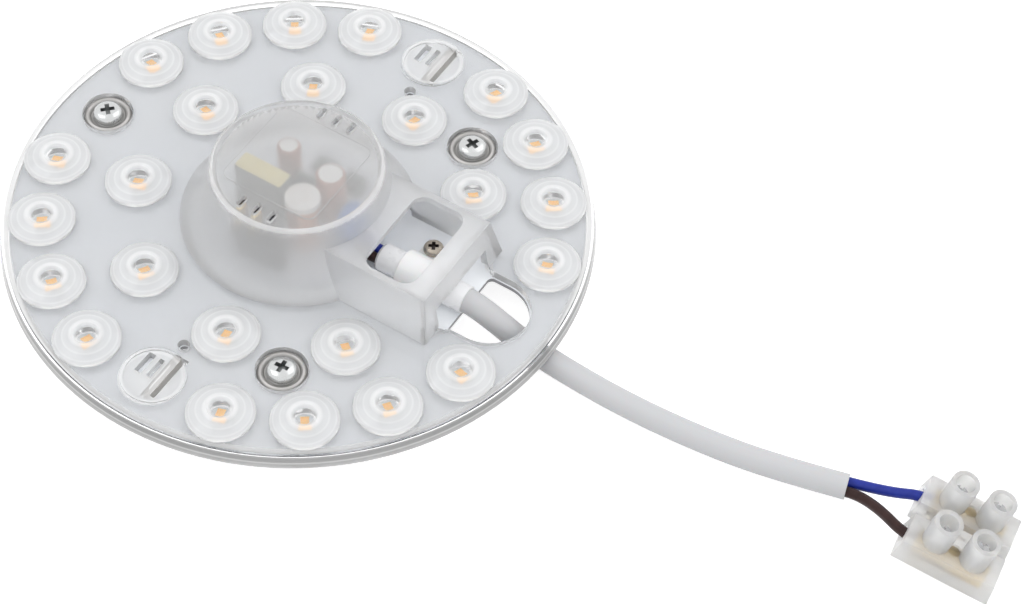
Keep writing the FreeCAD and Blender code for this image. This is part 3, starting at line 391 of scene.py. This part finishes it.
# Lens cover: one acrylic moulding with its lenses, the driver dome and the terminal box. The plate is clear,
# the dome and box come frosted out of the mould, and the lenses are slightly milky to spread the light.
# It lies on the board, and its skirt and two hooks hold it there.
def welded_copy(node):
    """A welded copy of a CAD node's mesh, shaded smooth except on its flat faces."""
    build = bmesh.new()
    build.from_mesh(nodes[node].data)
    bmesh.ops.remove_doubles(build, verts=build.verts, dist=2e-7)
    seen = set()
    for first in build.faces:
        if first in seen:
            continue
        flat = [first]
        seen.add(first)
        for face in flat:
            for edge in face.edges:
                for other in edge.link_faces:
                    if other not in seen and other.normal.dot(first.normal) > 0.999999:
                        seen.add(other)
                        flat.append(other)
        for face in flat:
            face.smooth = len(flat) < 3
    return build


def acrylic_finish(name, color, milk, gloss_low, gloss_high):
    """Clear or frosted acrylic; milk is the share of light that it scatters."""
    finish, shader = new_finish(name, color, gloss_high)
    shader.inputs["Transmission Weight"].default_value = 1.0 - milk
    shader.inputs["IOR"].default_value = 1.49
    spread(finish, grain(finish, 220.0, 3.0), gloss_low, gloss_high, shader.inputs["Roughness"])
    return finish


def ramp_by(finish, source, stops, target):
    """Feeds a stepped ramp of grey values, by a measure in metres, to a shader input."""
    tree = finish.node_tree
    reach_most = stops[-1][0]
    share = tree.nodes.new("ShaderNodeMath")
    share.operation = "DIVIDE"
    share.inputs[1].default_value = reach_most
    tree.links.new(source, share.inputs[0])
    ramp = tree.nodes.new("ShaderNodeValToRGB")
    for measure, grey in stops[1:-1]:
        ramp.color_ramp.elements.new(measure / reach_most).color = (grey, grey, grey, 1.0)
    ramp.color_ramp.elements[0].color = (stops[0][1],) * 3 + (1.0,)
    ramp.color_ramp.elements[-1].color = (stops[-1][1],) * 3 + (1.0,)
    tree.links.new(share.outputs["Value"], ramp.inputs["Fac"])
    tree.links.new(ramp.outputs["Color"], target)


def reach_from(finish, x, y):
    """The distance of a surface point from an upright axis, the far side folded onto the near one."""
    tree = finish.node_tree
    coordinates = tree.nodes.new("ShaderNodeTexCoord")
    folded = tree.nodes.new("ShaderNodeVectorMath")
    folded.operation = "ABSOLUTE"
    tree.links.new(coordinates.outputs["Object"], folded.inputs[0])
    flat = tree.nodes.new("ShaderNodeVectorMath")
    flat.operation = "MULTIPLY"
    flat.inputs[1].default_value = (1.0, 1.0, 0.0)
    tree.links.new(folded.outputs["Vector"], flat.inputs[0])
    reach = tree.nodes.new("ShaderNodeVectorMath")
    reach.operation = "DISTANCE"
    reach.inputs[1].default_value = (x, y, 0.0)
    tree.links.new(flat.outputs["Vector"], reach.inputs[0])
    return reach.outputs["Value"]


clip_row = 0.0513
plate_acrylic = acrylic_finish("clear_acrylic", (0.985, 0.99, 1.0), 0.0, 0.04, 0.09)

face_acrylic_with_rim_shade = acrylic_finish("plate_face_acrylic", (0.975, 0.98, 0.99), 0.12, 0.04, 0.09)
face_shader = face_acrylic_with_rim_shade.node_tree.nodes["Principled BSDF"]
clear_share = face_acrylic_with_rim_shade.node_tree.nodes.new("ShaderNodeMath")
clear_share.operation = "MULTIPLY"
# Painted shade: beyond 60 mm the plate face turns grey and less clear, for the shade over the board's edge and
# behind the skirt.
ramp_by(face_acrylic_with_rim_shade, reach_from(face_acrylic_with_rim_shade, 0.0, 0.0),
        [(0.0, 0.90), (0.0600, 0.90), (0.0606, 0.40), (0.0625, 0.30)], clear_share.inputs[0])
ramp_by(face_acrylic_with_rim_shade, reach_from(face_acrylic_with_rim_shade, 0.0, 0.0),
        [(0.0, 0.985), (0.0600, 0.985), (0.0606, 0.62), (0.0625, 0.60)], face_shader.inputs["Base Color"])
ramp_by(face_acrylic_with_rim_shade, reach_from(face_acrylic_with_rim_shade, 0.0, clip_row),
        [(0.0, 0.66), (0.0056, 0.74), (0.0061, 0.60), (0.0066, 0.62), (0.0070, 1.0), (0.12, 1.0)],
        clear_share.inputs[1])
face_acrylic_with_rim_shade.node_tree.links.new(clear_share.outputs["Value"], face_shader.inputs["Transmission Weight"])

lens_acrylic = acrylic_finish("lens_acrylic", (0.97, 0.97, 0.97), 0.35, 0.05, 0.10)
lens_shader = lens_acrylic.node_tree.nodes["Principled BSDF"]
lens_measure = lens_acrylic.node_tree.nodes.new("ShaderNodeAttribute")
lens_measure.attribute_name = "lens_reach"
ramp_by(lens_acrylic, lens_measure.outputs["Fac"],
        [(0.0, 0.84), (0.0016, 0.80), (0.0024, 0.60), (0.0028, 0.46), (0.0032, 0.50), (0.0038, 0.66),
         (0.0046, 0.64), (0.0049, 0.58), (0.0052, 0.66), (0.0060, 0.64), (0.0063, 0.57), (0.0066, 0.64),
         (0.00705, 0.50)], lens_shader.inputs["Transmission Weight"])

roof_acrylic = acrylic_finish("dome_roof_acrylic", (0.99, 0.99, 0.99), 0.20, 0.20, 0.262)
flank_acrylic = acrylic_finish("frosted_flank_acrylic", (0.99, 0.993, 1.0), 0.26, 0.29, 0.36)
edge_acrylic = acrylic_finish("moulded_edge_acrylic", (0.98, 0.98, 0.985), 0.45, 0.19, 0.26)
# Painted shade: the hook's faces in and below the board's slot are grey-beige and nearly opaque, for the shade
# in the slot.
hook_acrylic_painted_shade = acrylic_finish("snap_hook_acrylic", (0.66, 0.64, 0.61), 0.80, 0.18, 0.26)

# Painted shade: the skirt's upright faces are grey, in darker and lighter bands by height, for the shade
# behind and under the skirt.
skirt_acrylic_painted_shade = acrylic_finish("skirt_acrylic_painted_shade", (0.50, 0.50, 0.50), 0.80, 0.15, 0.25)
skirt_shader = skirt_acrylic_painted_shade.node_tree.nodes["Principled BSDF"]
skirt_place = skirt_acrylic_painted_shade.node_tree.nodes.new("ShaderNodeTexCoord")
skirt_height = skirt_acrylic_painted_shade.node_tree.nodes.new("ShaderNodeSeparateXYZ")
skirt_acrylic_painted_shade.node_tree.links.new(skirt_place.outputs["Object"], skirt_height.inputs["Vector"])
ramp_by(skirt_acrylic_painted_shade, skirt_height.outputs["Z"],
        [(0.0, 0.72), (0.0054, 0.72), (0.0062, 0.48), (0.0068, 0.40), (0.0071, 0.66), (0.0074, 0.30),
         (0.0082, 0.28), (0.0086, 0.50), (0.0090, 0.62), (0.0092, 0.55)], skirt_shader.inputs["Base Color"])

build = welded_copy("lens_cover")
board_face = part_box("led_board")[1].z
cover_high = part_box("lens_cover")[1].z
plate_front = board_face + 0.0019
lens_radius = 0.00705
crown_arc_radius = 0.011985
crown_arc_centre = (0.000647, plate_front - 0.009631)
crown_ring = 0.0031
dimple_edge = 0.0026
crown_top = plate_front + 0.0021
dimple_floor = plate_front + 0.0013
lens_axes = []
for number in range(1, led_count + 1):
    low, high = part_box("led_%02d" % number)
    lens_axes.append(((low.x + high.x) / 2, (low.y + high.y) / 2))


def nearest_axis(point):
    """The axis of the lens nearest to a point."""
    return min(lens_axes, key=lambda axis: math.hypot(point.x - axis[0], point.y - axis[1]))


def lens_reach(point):
    """How far a point is from the nearest lens axis."""
    return min(math.hypot(point.x - x, point.y - y) for x, y in lens_axes)


def crown_height(reach):
    """The height of the lens face at a distance from its axis: dimple, flat ring and arched crown."""
    if reach < dimple_edge:
        return dimple_floor + (crown_top - dimple_floor) * reach / dimple_edge
    if reach < crown_ring:
        return crown_top
    return crown_arc_centre[1] + math.sqrt(crown_arc_radius ** 2 - (reach - crown_arc_centre[0]) ** 2)


def on_lens_face(point, slack):
    """Whether a point lies on the dimple or crown of a lens."""
    reach = lens_reach(point)
    return reach < lens_radius + 0.00002 and abs(crown_height(min(reach, lens_radius)) - point.z) < slack


crown_verts = {vert for vert in build.verts if on_lens_face(vert.co, 0.00002)}
crown_edges = [edge for edge in build.edges
               if edge.verts[0] in crown_verts and edge.verts[1] in crown_verts
               and on_lens_face((edge.verts[0].co + edge.verts[1].co) / 2, 0.0002)]
bmesh.ops.subdivide_edges(build, edges=crown_edges, cuts=2, use_grid_fill=True)
for vert in build.verts:
    reach = lens_reach(vert.co)
    if reach < lens_radius - 0.0000001 and abs(crown_height(reach) - vert.co.z) < 0.0002:
        vert.co.z = crown_height(reach)
dimple_faces = [face for face in build.faces
                if lens_reach(face.calc_center_median()) < dimple_edge
                and on_lens_face(face.calc_center_median(), 0.0002)]
bmesh.ops.delete(build, geom=dimple_faces, context="FACES")
loop = [edge for edge in build.edges if edge.is_boundary and lens_reach(edge.verts[0].co) < crown_ring]
past = 1.0
for share in (0.85, 0.7, 0.55, 0.4, 0.25, 0.12):
    made = bmesh.ops.extrude_edge_only(build, edges=loop)["geom"]
    loop = [item for item in made if isinstance(item, bmesh.types.BMEdge) and item.is_boundary]
    for item in made:
        if isinstance(item, bmesh.types.BMVert):
            axis = Vector(nearest_axis(item.co))
            item.co.xy = axis + (item.co.xy - axis) * share / past
            item.co.z = crown_top - (crown_top - dimple_floor) * (1 - share ** 2)
        if isinstance(item, bmesh.types.BMFace):
            item.smooth = True
    past = share
floors = bmesh.ops.edgeloop_fill(build, edges=loop)["faces"]
for face in bmesh.ops.poke(build, faces=floors)["faces"]:
    face.smooth = True
for vert in build.verts:
    if abs(vert.co.z - board_face) < 1e-6:
        vert.co.z += 0.00006
lens_layer = build.verts.layers.float.new("lens_reach")
for vert in build.verts:
    vert[lens_layer] = min(lens_reach(vert.co), lens_radius)

# Each face takes its finish from where it lies on the moulding and which way it faces.
cover_finishes = [plate_acrylic, face_acrylic_with_rim_shade, lens_acrylic, roof_acrylic, flank_acrylic, skirt_acrylic_painted_shade,
                  edge_acrylic, hook_acrylic_painted_shade]
box_end = 0.0413
box_half_foot = 0.01495
dome_foot = 0.02505
roof_reach = 0.0170
skirt_inside = 0.0612
hook_middle, hook_half, hook_bar = 0.0013, 0.00101, 0.00225
clip_reach = 0.0070
for face in build.faces:
    middle = face.calc_center_median()
    reach = lens_reach(middle)
    spread_out = math.hypot(middle.x, middle.y)
    upright = abs(face.normal.z) < 0.5
    if reach < lens_radius + 0.00001 and middle.z > plate_front:
        skin = lens_acrylic
    elif abs(middle.x - hook_middle) < hook_half and abs(abs(middle.y) - clip_row) < clip_reach and (
            middle.z < board_face - 0.0001 or (middle.x > hook_bar and middle.z < plate_front - 0.0001)):
        skin = hook_acrylic_painted_shade
    elif middle.z > cover_high - 0.0024 and spread_out < roof_reach:
        skin = edge_acrylic if upright else roof_acrylic
    elif middle.z > cover_high - 0.0012 and spread_out < dome_foot:
        skin = edge_acrylic
    elif spread_out < dome_foot or (0 < middle.x < box_end and abs(middle.y) < box_half_foot):
        skin = flank_acrylic
    elif spread_out > skirt_inside and upright:
        skin = skirt_acrylic_painted_shade
    elif upright and reach > lens_radius + 0.0002 and middle.z > board_face:
        skin = edge_acrylic
    elif face.normal.z > 0.5 and middle.z > plate_front - 0.0001:
        skin = face_acrylic_with_rim_shade
    else:
        skin = plate_acrylic
    face.material_index = cover_finishes.index(skin)
lens_cover = finish_piece("lens_cover_moulding", build, cover_finishes, 28.0, keep_shading=True)
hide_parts("lens_cover")


# Magnet screws in their pressed cups: bright zinc pan heads with a cross recess, in dark zinc steel cups
# that spread the load on the board. Each is driven into the bush of a magnet below.
cup_steel, cup_shader = new_finish("dark_zinc_cup", (0.46, 0.45, 0.44), 0.42, 1.0)
spread(cup_steel, grain(cup_steel, 700.0), 0.34, 0.52, cup_shader.inputs["Roughness"])
screw_zinc, screw_shader = new_finish("bright_zinc_screw", (0.60, 0.61, 0.61), 0.24, 1.0)
spread(screw_zinc, grain(screw_zinc, 900.0), 0.12, 0.3, screw_shader.inputs["Roughness"])
# Painted shade: the faces of the cross recess get a darker zinc, for the shade inside it.
zinc_hollow_shade, zinc_hollow_shade_shader = new_finish("screw_recess_painted_shade", (0.28, 0.29, 0.29), 0.35, 1.0)
spread(zinc_hollow_shade, grain(zinc_hollow_shade, 900.0), 0.35, 0.55, zinc_hollow_shade_shader.inputs["Roughness"])


def driven_screw(name, centre, foot, thread, reach_down, head, rise, spin, arms, node, finish, dark):
    """A pan head screw whose cross recess takes the dark finish as painted shade; foot is the height of the
    underside of its head.
    """
    build = bmesh.new()
    turned(build, [(0, -reach_down), (thread - 0.0003, -reach_down), (thread, -reach_down + 0.0003),
                   (thread, -0.0001), (head - 0.0001, 0.0), (head, 0.0001), (head, rise * 0.42),
                   (head * 0.96, rise * 0.62), (head * 0.86, rise * 0.80), (head * 0.68, rise * 0.93),
                   (head * 0.45, rise * 0.985), (0, rise)], 48)
    bmesh.ops.rotate(build, verts=build.verts, cent=(0, 0, 0), matrix=Matrix.Rotation(spin, 3, "Z"))
    bmesh.ops.translate(build, verts=build.verts, vec=(centre[0], centre[1], foot))
    screw = finish_piece(name, build, [finish, dark])
    cutter_build = bmesh.new()
    for turn_by in (0.0, math.pi / 2):
        verts = slab(cutter_build, (-arms, -arms * 0.24, rise * 0.40), (arms, arms * 0.24, rise + 0.001), 0.0)
        for vert in verts:
            if vert.co.z < rise * 0.6:
                vert.co.x *= 0.45
        bmesh.ops.rotate(cutter_build, verts=verts, cent=(0, 0, 0),
                         matrix=Matrix.Rotation(turn_by + spin, 3, "Z"))
    bmesh.ops.translate(cutter_build, verts=cutter_build.verts, vec=(centre[0], centre[1], foot))
    # The recess faces take the dark finish: painted shade.
    for face in cutter_build.faces:
        face.material_index = 1
    cutter_mesh = bpy.data.meshes.new(name + "_cross")
    cutter_build.to_mesh(cutter_mesh)
    cutter_build.free()
    cutter_mesh.materials.append(finish)
    cutter_mesh.materials.append(dark)
    cutter = bpy.data.objects.new(name + "_cross", cutter_mesh)
    scene.collection.objects.link(cutter)
    carve = screw.modifiers.new("cross", "BOOLEAN")
    carve.operation = "DIFFERENCE"
    carve.object = cutter
    carve.solver = "EXACT"
    carve.use_self = True
    bpy.context.view_layer.update()
    carved = bpy.data.meshes.new_from_object(screw.evaluated_get(bpy.context.evaluated_depsgraph_get()))
    screw.modifiers.clear()
    screw.data = carved
    bpy.data.objects.remove(cutter)
    for face in carved.polygons:
        face.use_smooth = True
    carved.set_sharp_from_angle(angle=math.radians(35))
    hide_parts(node)


for number in (1, 2, 3):
    low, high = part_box("screw_cup_%d" % number)
    centre = (low + high) / 2
    r = (high.x - low.x) / 2
    h = high.z - low.z
    cup_outline = [(0.0018, 0.0), (r - 0.0002, 0.0), (r, 0.0002), (r, h - 0.0008), (r - 0.00015, h - 0.0004),
                   (r - 0.0006, h - 0.00005), (r - 0.0009, h), (r - 0.0013, h - 0.0002),
                   (r - 0.0016, h - 0.0007), (r - 0.0017, 0.0008), (r - 0.0020, 0.0006), (0.0018, 0.0006),
                   (0.0018, 0.0)]
    spun_piece("screw_cup_ring_%d" % number, cup_outline, (centre.x, centre.y, low.z), cup_steel,
               "screw_cup_%d" % number)
    low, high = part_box("magnet_screw_%d" % number)
    centre = (low + high) / 2
    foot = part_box("screw_cup_%d" % number)[0].z + 0.0006
    driven_screw("magnet_screw_head_%d" % number, (centre.x, centre.y), foot, thread=0.0015,
                 reach_down=foot - low.z, head=0.00325, rise=0.0023, spin=math.radians(25 * number + 20),
                 arms=0.0020, node="magnet_screw_%d" % number, finish=screw_zinc,
                 dark=zinc_hollow_shade)


# Cable clamp: a white nylon saddle over the sleeved cable, screwed to the board with a nickel-plated screw.
nylon, nylon_shader = new_finish("white_nylon", (0.84, 0.845, 0.85), 0.4)
nylon_shader.inputs["Subsurface Weight"].default_value = 0.15
nylon_shader.inputs["Subsurface Scale"].default_value = 0.0008
spread(nylon, grain(nylon, 500.0), 0.32, 0.5, nylon_shader.inputs["Roughness"])


def soften_edges(piece, width, segments):
    """Rounds a moulded piece's sharp edges."""
    soften = piece.modifiers.new("soften", "BEVEL")
    soften.width = width
    soften.segments = segments
    soften.limit_method = "ANGLE"
    soften.angle_limit = math.radians(40)
    soften.use_clamp_overlap = True


build = welded_copy("cable_clamp")
clamp = finish_piece("cable_clamp_saddle", build, nylon, 30.0)
soften_edges(clamp, 0.00025, 2)
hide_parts("cable_clamp")

nickel, nickel_shader = new_finish("nickel_plated_screw", (0.45, 0.40, 0.34), 0.28, 1.0)
spread(nickel, grain(nickel, 900.0), 0.18, 0.4, nickel_shader.inputs["Roughness"])
# Painted shade: the clamp screw's cross recess is nearly black, for the shade inside it.
nickel_hollow_shade, nickel_hollow_shade_shader = new_finish("nickel_recess_painted_shade", (0.07, 0.06, 0.055), 0.5, 1.0)
spread(nickel_hollow_shade, grain(nickel_hollow_shade, 900.0), 0.4, 0.6, nickel_hollow_shade_shader.inputs["Roughness"])
low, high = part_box("clamp_screw")
centre = (low + high) / 2
head_foot = high.z - 0.0014
driven_screw("clamp_screw_head", (centre.x, centre.y), head_foot, thread=0.0011, reach_down=head_foot - low.z,
             head=0.0021, rise=0.0014, spin=math.radians(30), arms=0.0016, node="clamp_screw",
             finish=nickel, dark=nickel_hollow_shade)


# Cable: a two-core flex with a white PVC jacket that runs from the clamp through the cut-out and along the
# table. Its whole length shows: 109 mm. A thin white sleeve protects it under the clamp.
jacket, jacket_shader = new_finish("white_pvc_jacket", (0.52, 0.525, 0.54), 0.45)
spread(jacket, grain(jacket, 350.0), 0.34, 0.52, jacket_shader.inputs["Roughness"])
relief(jacket, jacket_shader, grain(jacket, 900.0, 4.0), 0.00006, 0.25)
jacket_shader.inputs["Subsurface Weight"].default_value = 0.1
jacket_shader.inputs["Subsurface Scale"].default_value = 0.001


def flex(name, points, thick, finish, roundness=5):
    """A cord along its route, as one smooth open spline."""
    curve = bpy.data.curves.new(name, "CURVE")
    curve.dimensions = "3D"
    spline = curve.splines.new("NURBS")
    spline.points.add(len(points) - 1)
    for point, place_of in zip(spline.points, points):
        point.co = (*place_of, 1.0)
    spline.order_u = 3
    spline.use_endpoint_u = True
    spline.use_smooth = True
    curve.resolution_u = 16
    curve.bevel_depth = thick / 2
    curve.bevel_resolution = roundness
    curve.use_fill_caps = True
    curve.materials.append(finish)
    cord = bpy.data.objects.new(name, curve)
    scene.collection.objects.link(cord)
    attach(cord, "root")
    return cord


cable_thick = 0.0054
core_thick = 0.0022
cable_route = [
    (0.0214, -0.0010, 0.01035), (0.0375, -0.0010, 0.01035), (0.0439, -0.0010, 0.01035),
    (0.0492, 0.0001, 0.0068), (0.0554, 0.0009, 0.00275), (0.0660, -0.00025, 0.00275),
    (0.0810, -0.0008, 0.00275), (0.0970, 0.0001, 0.00275), (0.1123, 0.0023, 0.00275),
    (0.12735, 0.0063, 0.00275),
]
cable = flex("power_cable_jacket", cable_route, cable_thick, jacket)
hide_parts("power_cable")

sleeve_film, sleeve_shader = new_finish("white_shrink_sleeve", (0.85, 0.855, 0.87), 0.3)
spread(sleeve_film, grain(sleeve_film, 300.0), 0.22, 0.4, sleeve_shader.inputs["Roughness"])
low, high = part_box("cable_sleeve")
sleeve_route = [(low.x, -0.0010, 0.01035), (0.0310, -0.0010, 0.01035), (0.0400, -0.0010, 0.01035),
                (0.0423, -0.00095, 0.01025)]
sleeve = flex("cable_sleeve_tube", sleeve_route, high.z - low.z, sleeve_film, roundness=8)
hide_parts("cable_sleeve")


# Cores: blue and brown PVC insulation. Inside the box they run to the driver board, and outside they leave
# the jacket side by side, part and go into the terminal block.
blue, blue_shader = new_finish("blue_pvc", (0.016, 0.030, 0.27), 0.34)
tint(blue, grain(blue, 500.0), (0.013, 0.024, 0.23), (0.020, 0.038, 0.31), blue_shader.inputs["Base Color"])
brown, brown_shader = new_finish("brown_pvc", (0.036, 0.015, 0.014), 0.40)
tint(brown, grain(brown, 500.0), (0.024, 0.009, 0.008), (0.040, 0.017, 0.015),
     brown_shader.inputs["Base Color"])
blue_shader.inputs["Specular IOR Level"].default_value = 0.22
brown_shader.inputs["Specular IOR Level"].default_value = 0.22

for node, colour, route in (
    ("blue_core_inner", blue, [(0.0160, 0.0002, 0.01035), (0.0187, 0.0002, 0.01035),
                               (0.0214, 0.0002, 0.01035)]),
    ("brown_core_inner", brown, [(0.0160, -0.0022, 0.01035), (0.0187, -0.0022, 0.01035),
                                 (0.0214, -0.0022, 0.01035)]),
    ("blue_core_outer", blue, [(0.12704, 0.00746, 0.00275), (0.12994, 0.00823, 0.00275),
                               (0.13640, 0.00915, 0.00450), (0.14132, 0.00996, 0.00680),
                               (0.14483, 0.01040, 0.00613)]),
    ("brown_core_outer", brown, [(0.12766, 0.00514, 0.00275), (0.13017, 0.00581, 0.00275),
                                 (0.13600, 0.00360, 0.00490), (0.14233, 0.0, 0.00685),
                                 (0.14608, 0.00048, 0.00613)]),
):
    core = flex(node + "_wire", route, core_thick, colour)
    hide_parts(node)


# Terminal block: natural polyamide, milky and slightly see-through, with two poles, four screw towers and two
# fixing holes in the web. Brass inserts carry the wires, and zinc screws go down the towers.
polyamide, polyamide_shader = new_finish("natural_polyamide", (0.975, 0.975, 0.97), 0.42)
polyamide_shader.inputs["Subsurface Weight"].default_value = 1.0
polyamide_shader.inputs["Subsurface Radius"].default_value = (1.0, 0.98, 0.93)
polyamide_shader.inputs["Subsurface Scale"].default_value = 0.004
polyamide_shader.inputs["Transmission Weight"].default_value = 0.6
polyamide_shader.inputs["IOR"].default_value = 1.3
spread(polyamide, grain(polyamide, 300.0), 0.30, 0.48, polyamide_shader.inputs["Roughness"])
build = welded_copy("terminal_block")
block_body = finish_piece("terminal_block_body", build, polyamide, 30.0)
soften_edges(block_body, 0.0003, 3)
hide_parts("terminal_block")

brass, brass_shader = new_finish("brass_insert_metal", (0.72, 0.55, 0.26), 0.3, 1.0)
spread(brass, grain(brass, 700.0), 0.22, 0.42, brass_shader.inputs["Roughness"])
for number in (1, 2):
    dress("brass_insert_%d" % number, brass)
terminal_zinc, terminal_zinc_shader = new_finish("terminal_screw_zinc", (0.55, 0.55, 0.56), 0.3, 1.0)
spread(terminal_zinc, grain(terminal_zinc, 900.0), 0.22, 0.4, terminal_zinc_shader.inputs["Roughness"])
dress("terminal_screws", terminal_zinc)


# Stage: a pale table and plain studio light. The table is white to the camera and keeps the soft shadow.
table_mesh = bpy.data.meshes.new("table_top")
table_build = bmesh.new()
bmesh.ops.create_grid(table_build, x_segments=1, y_segments=1, size=3.0)
table_build.to_mesh(table_mesh)
table_build.free()
table = bpy.data.objects.new("table_top", table_mesh)
scene.collection.objects.link(table)
table_paint, table_shader = new_finish("pale_table", (0.62, 0.62, 0.62), 0.9)
table_mesh.materials.append(table_paint)
tree = table_paint.node_tree
paths = tree.nodes.new("ShaderNodeLightPath")
seen = tree.nodes.new("ShaderNodeMath")
seen.operation = "MAXIMUM"
tree.links.new(paths.outputs["Is Camera Ray"], seen.inputs[0])
tree.links.new(paths.outputs["Is Glossy Ray"], seen.inputs[1])
seen_through = tree.nodes.new("ShaderNodeMath")
seen_through.operation = "MAXIMUM"
tree.links.new(seen.outputs["Value"], seen_through.inputs[0])
tree.links.new(paths.outputs["Is Transmission Ray"], seen_through.inputs[1])
glow = tree.nodes.new("ShaderNodeEmission")
glow.inputs["Color"].default_value = (1.0, 1.0, 1.0, 1.0)
lift = tree.nodes.new("ShaderNodeMath")
lift.operation = "MULTIPLY"
lift.inputs[1].default_value = 0.78
tree.links.new(seen_through.outputs["Value"], lift.inputs[0])
tree.links.new(lift.outputs["Value"], glow.inputs["Strength"])
both = tree.nodes.new("ShaderNodeAddShader")
output = tree.nodes["Material Output"]
tree.links.new(table_shader.outputs["BSDF"], both.inputs[0])
tree.links.new(glow.outputs["Emission"], both.inputs[1])
tree.links.new(both.outputs["Shader"], output.inputs["Surface"])

world = bpy.data.worlds.new("studio")
scene.world = world
world.use_nodes = True
world.node_tree.nodes["Background"].inputs["Color"].default_value = (1.0, 1.0, 1.0, 1.0)
world.node_tree.nodes["Background"].inputs["Strength"].default_value = 1.14

for name, where, power, width in (
    ("key_light", (-0.5, -0.25, 0.95), 1.2, 0.6),
    ("fill_light", (0.3, 0.6, 0.9), 1.2, 0.8),
):
    lamp_data = bpy.data.lights.new(name, "AREA")
    lamp_data.energy = power
    lamp_data.size = width
    lamp = bpy.data.objects.new(name, lamp_data)
    lamp.location = where
    lamp.rotation_euler = (Vector((0.03, 0, 0)) - Vector(where)).to_track_quat("-Z", "Y").to_euler()
    scene.collection.objects.link(lamp)
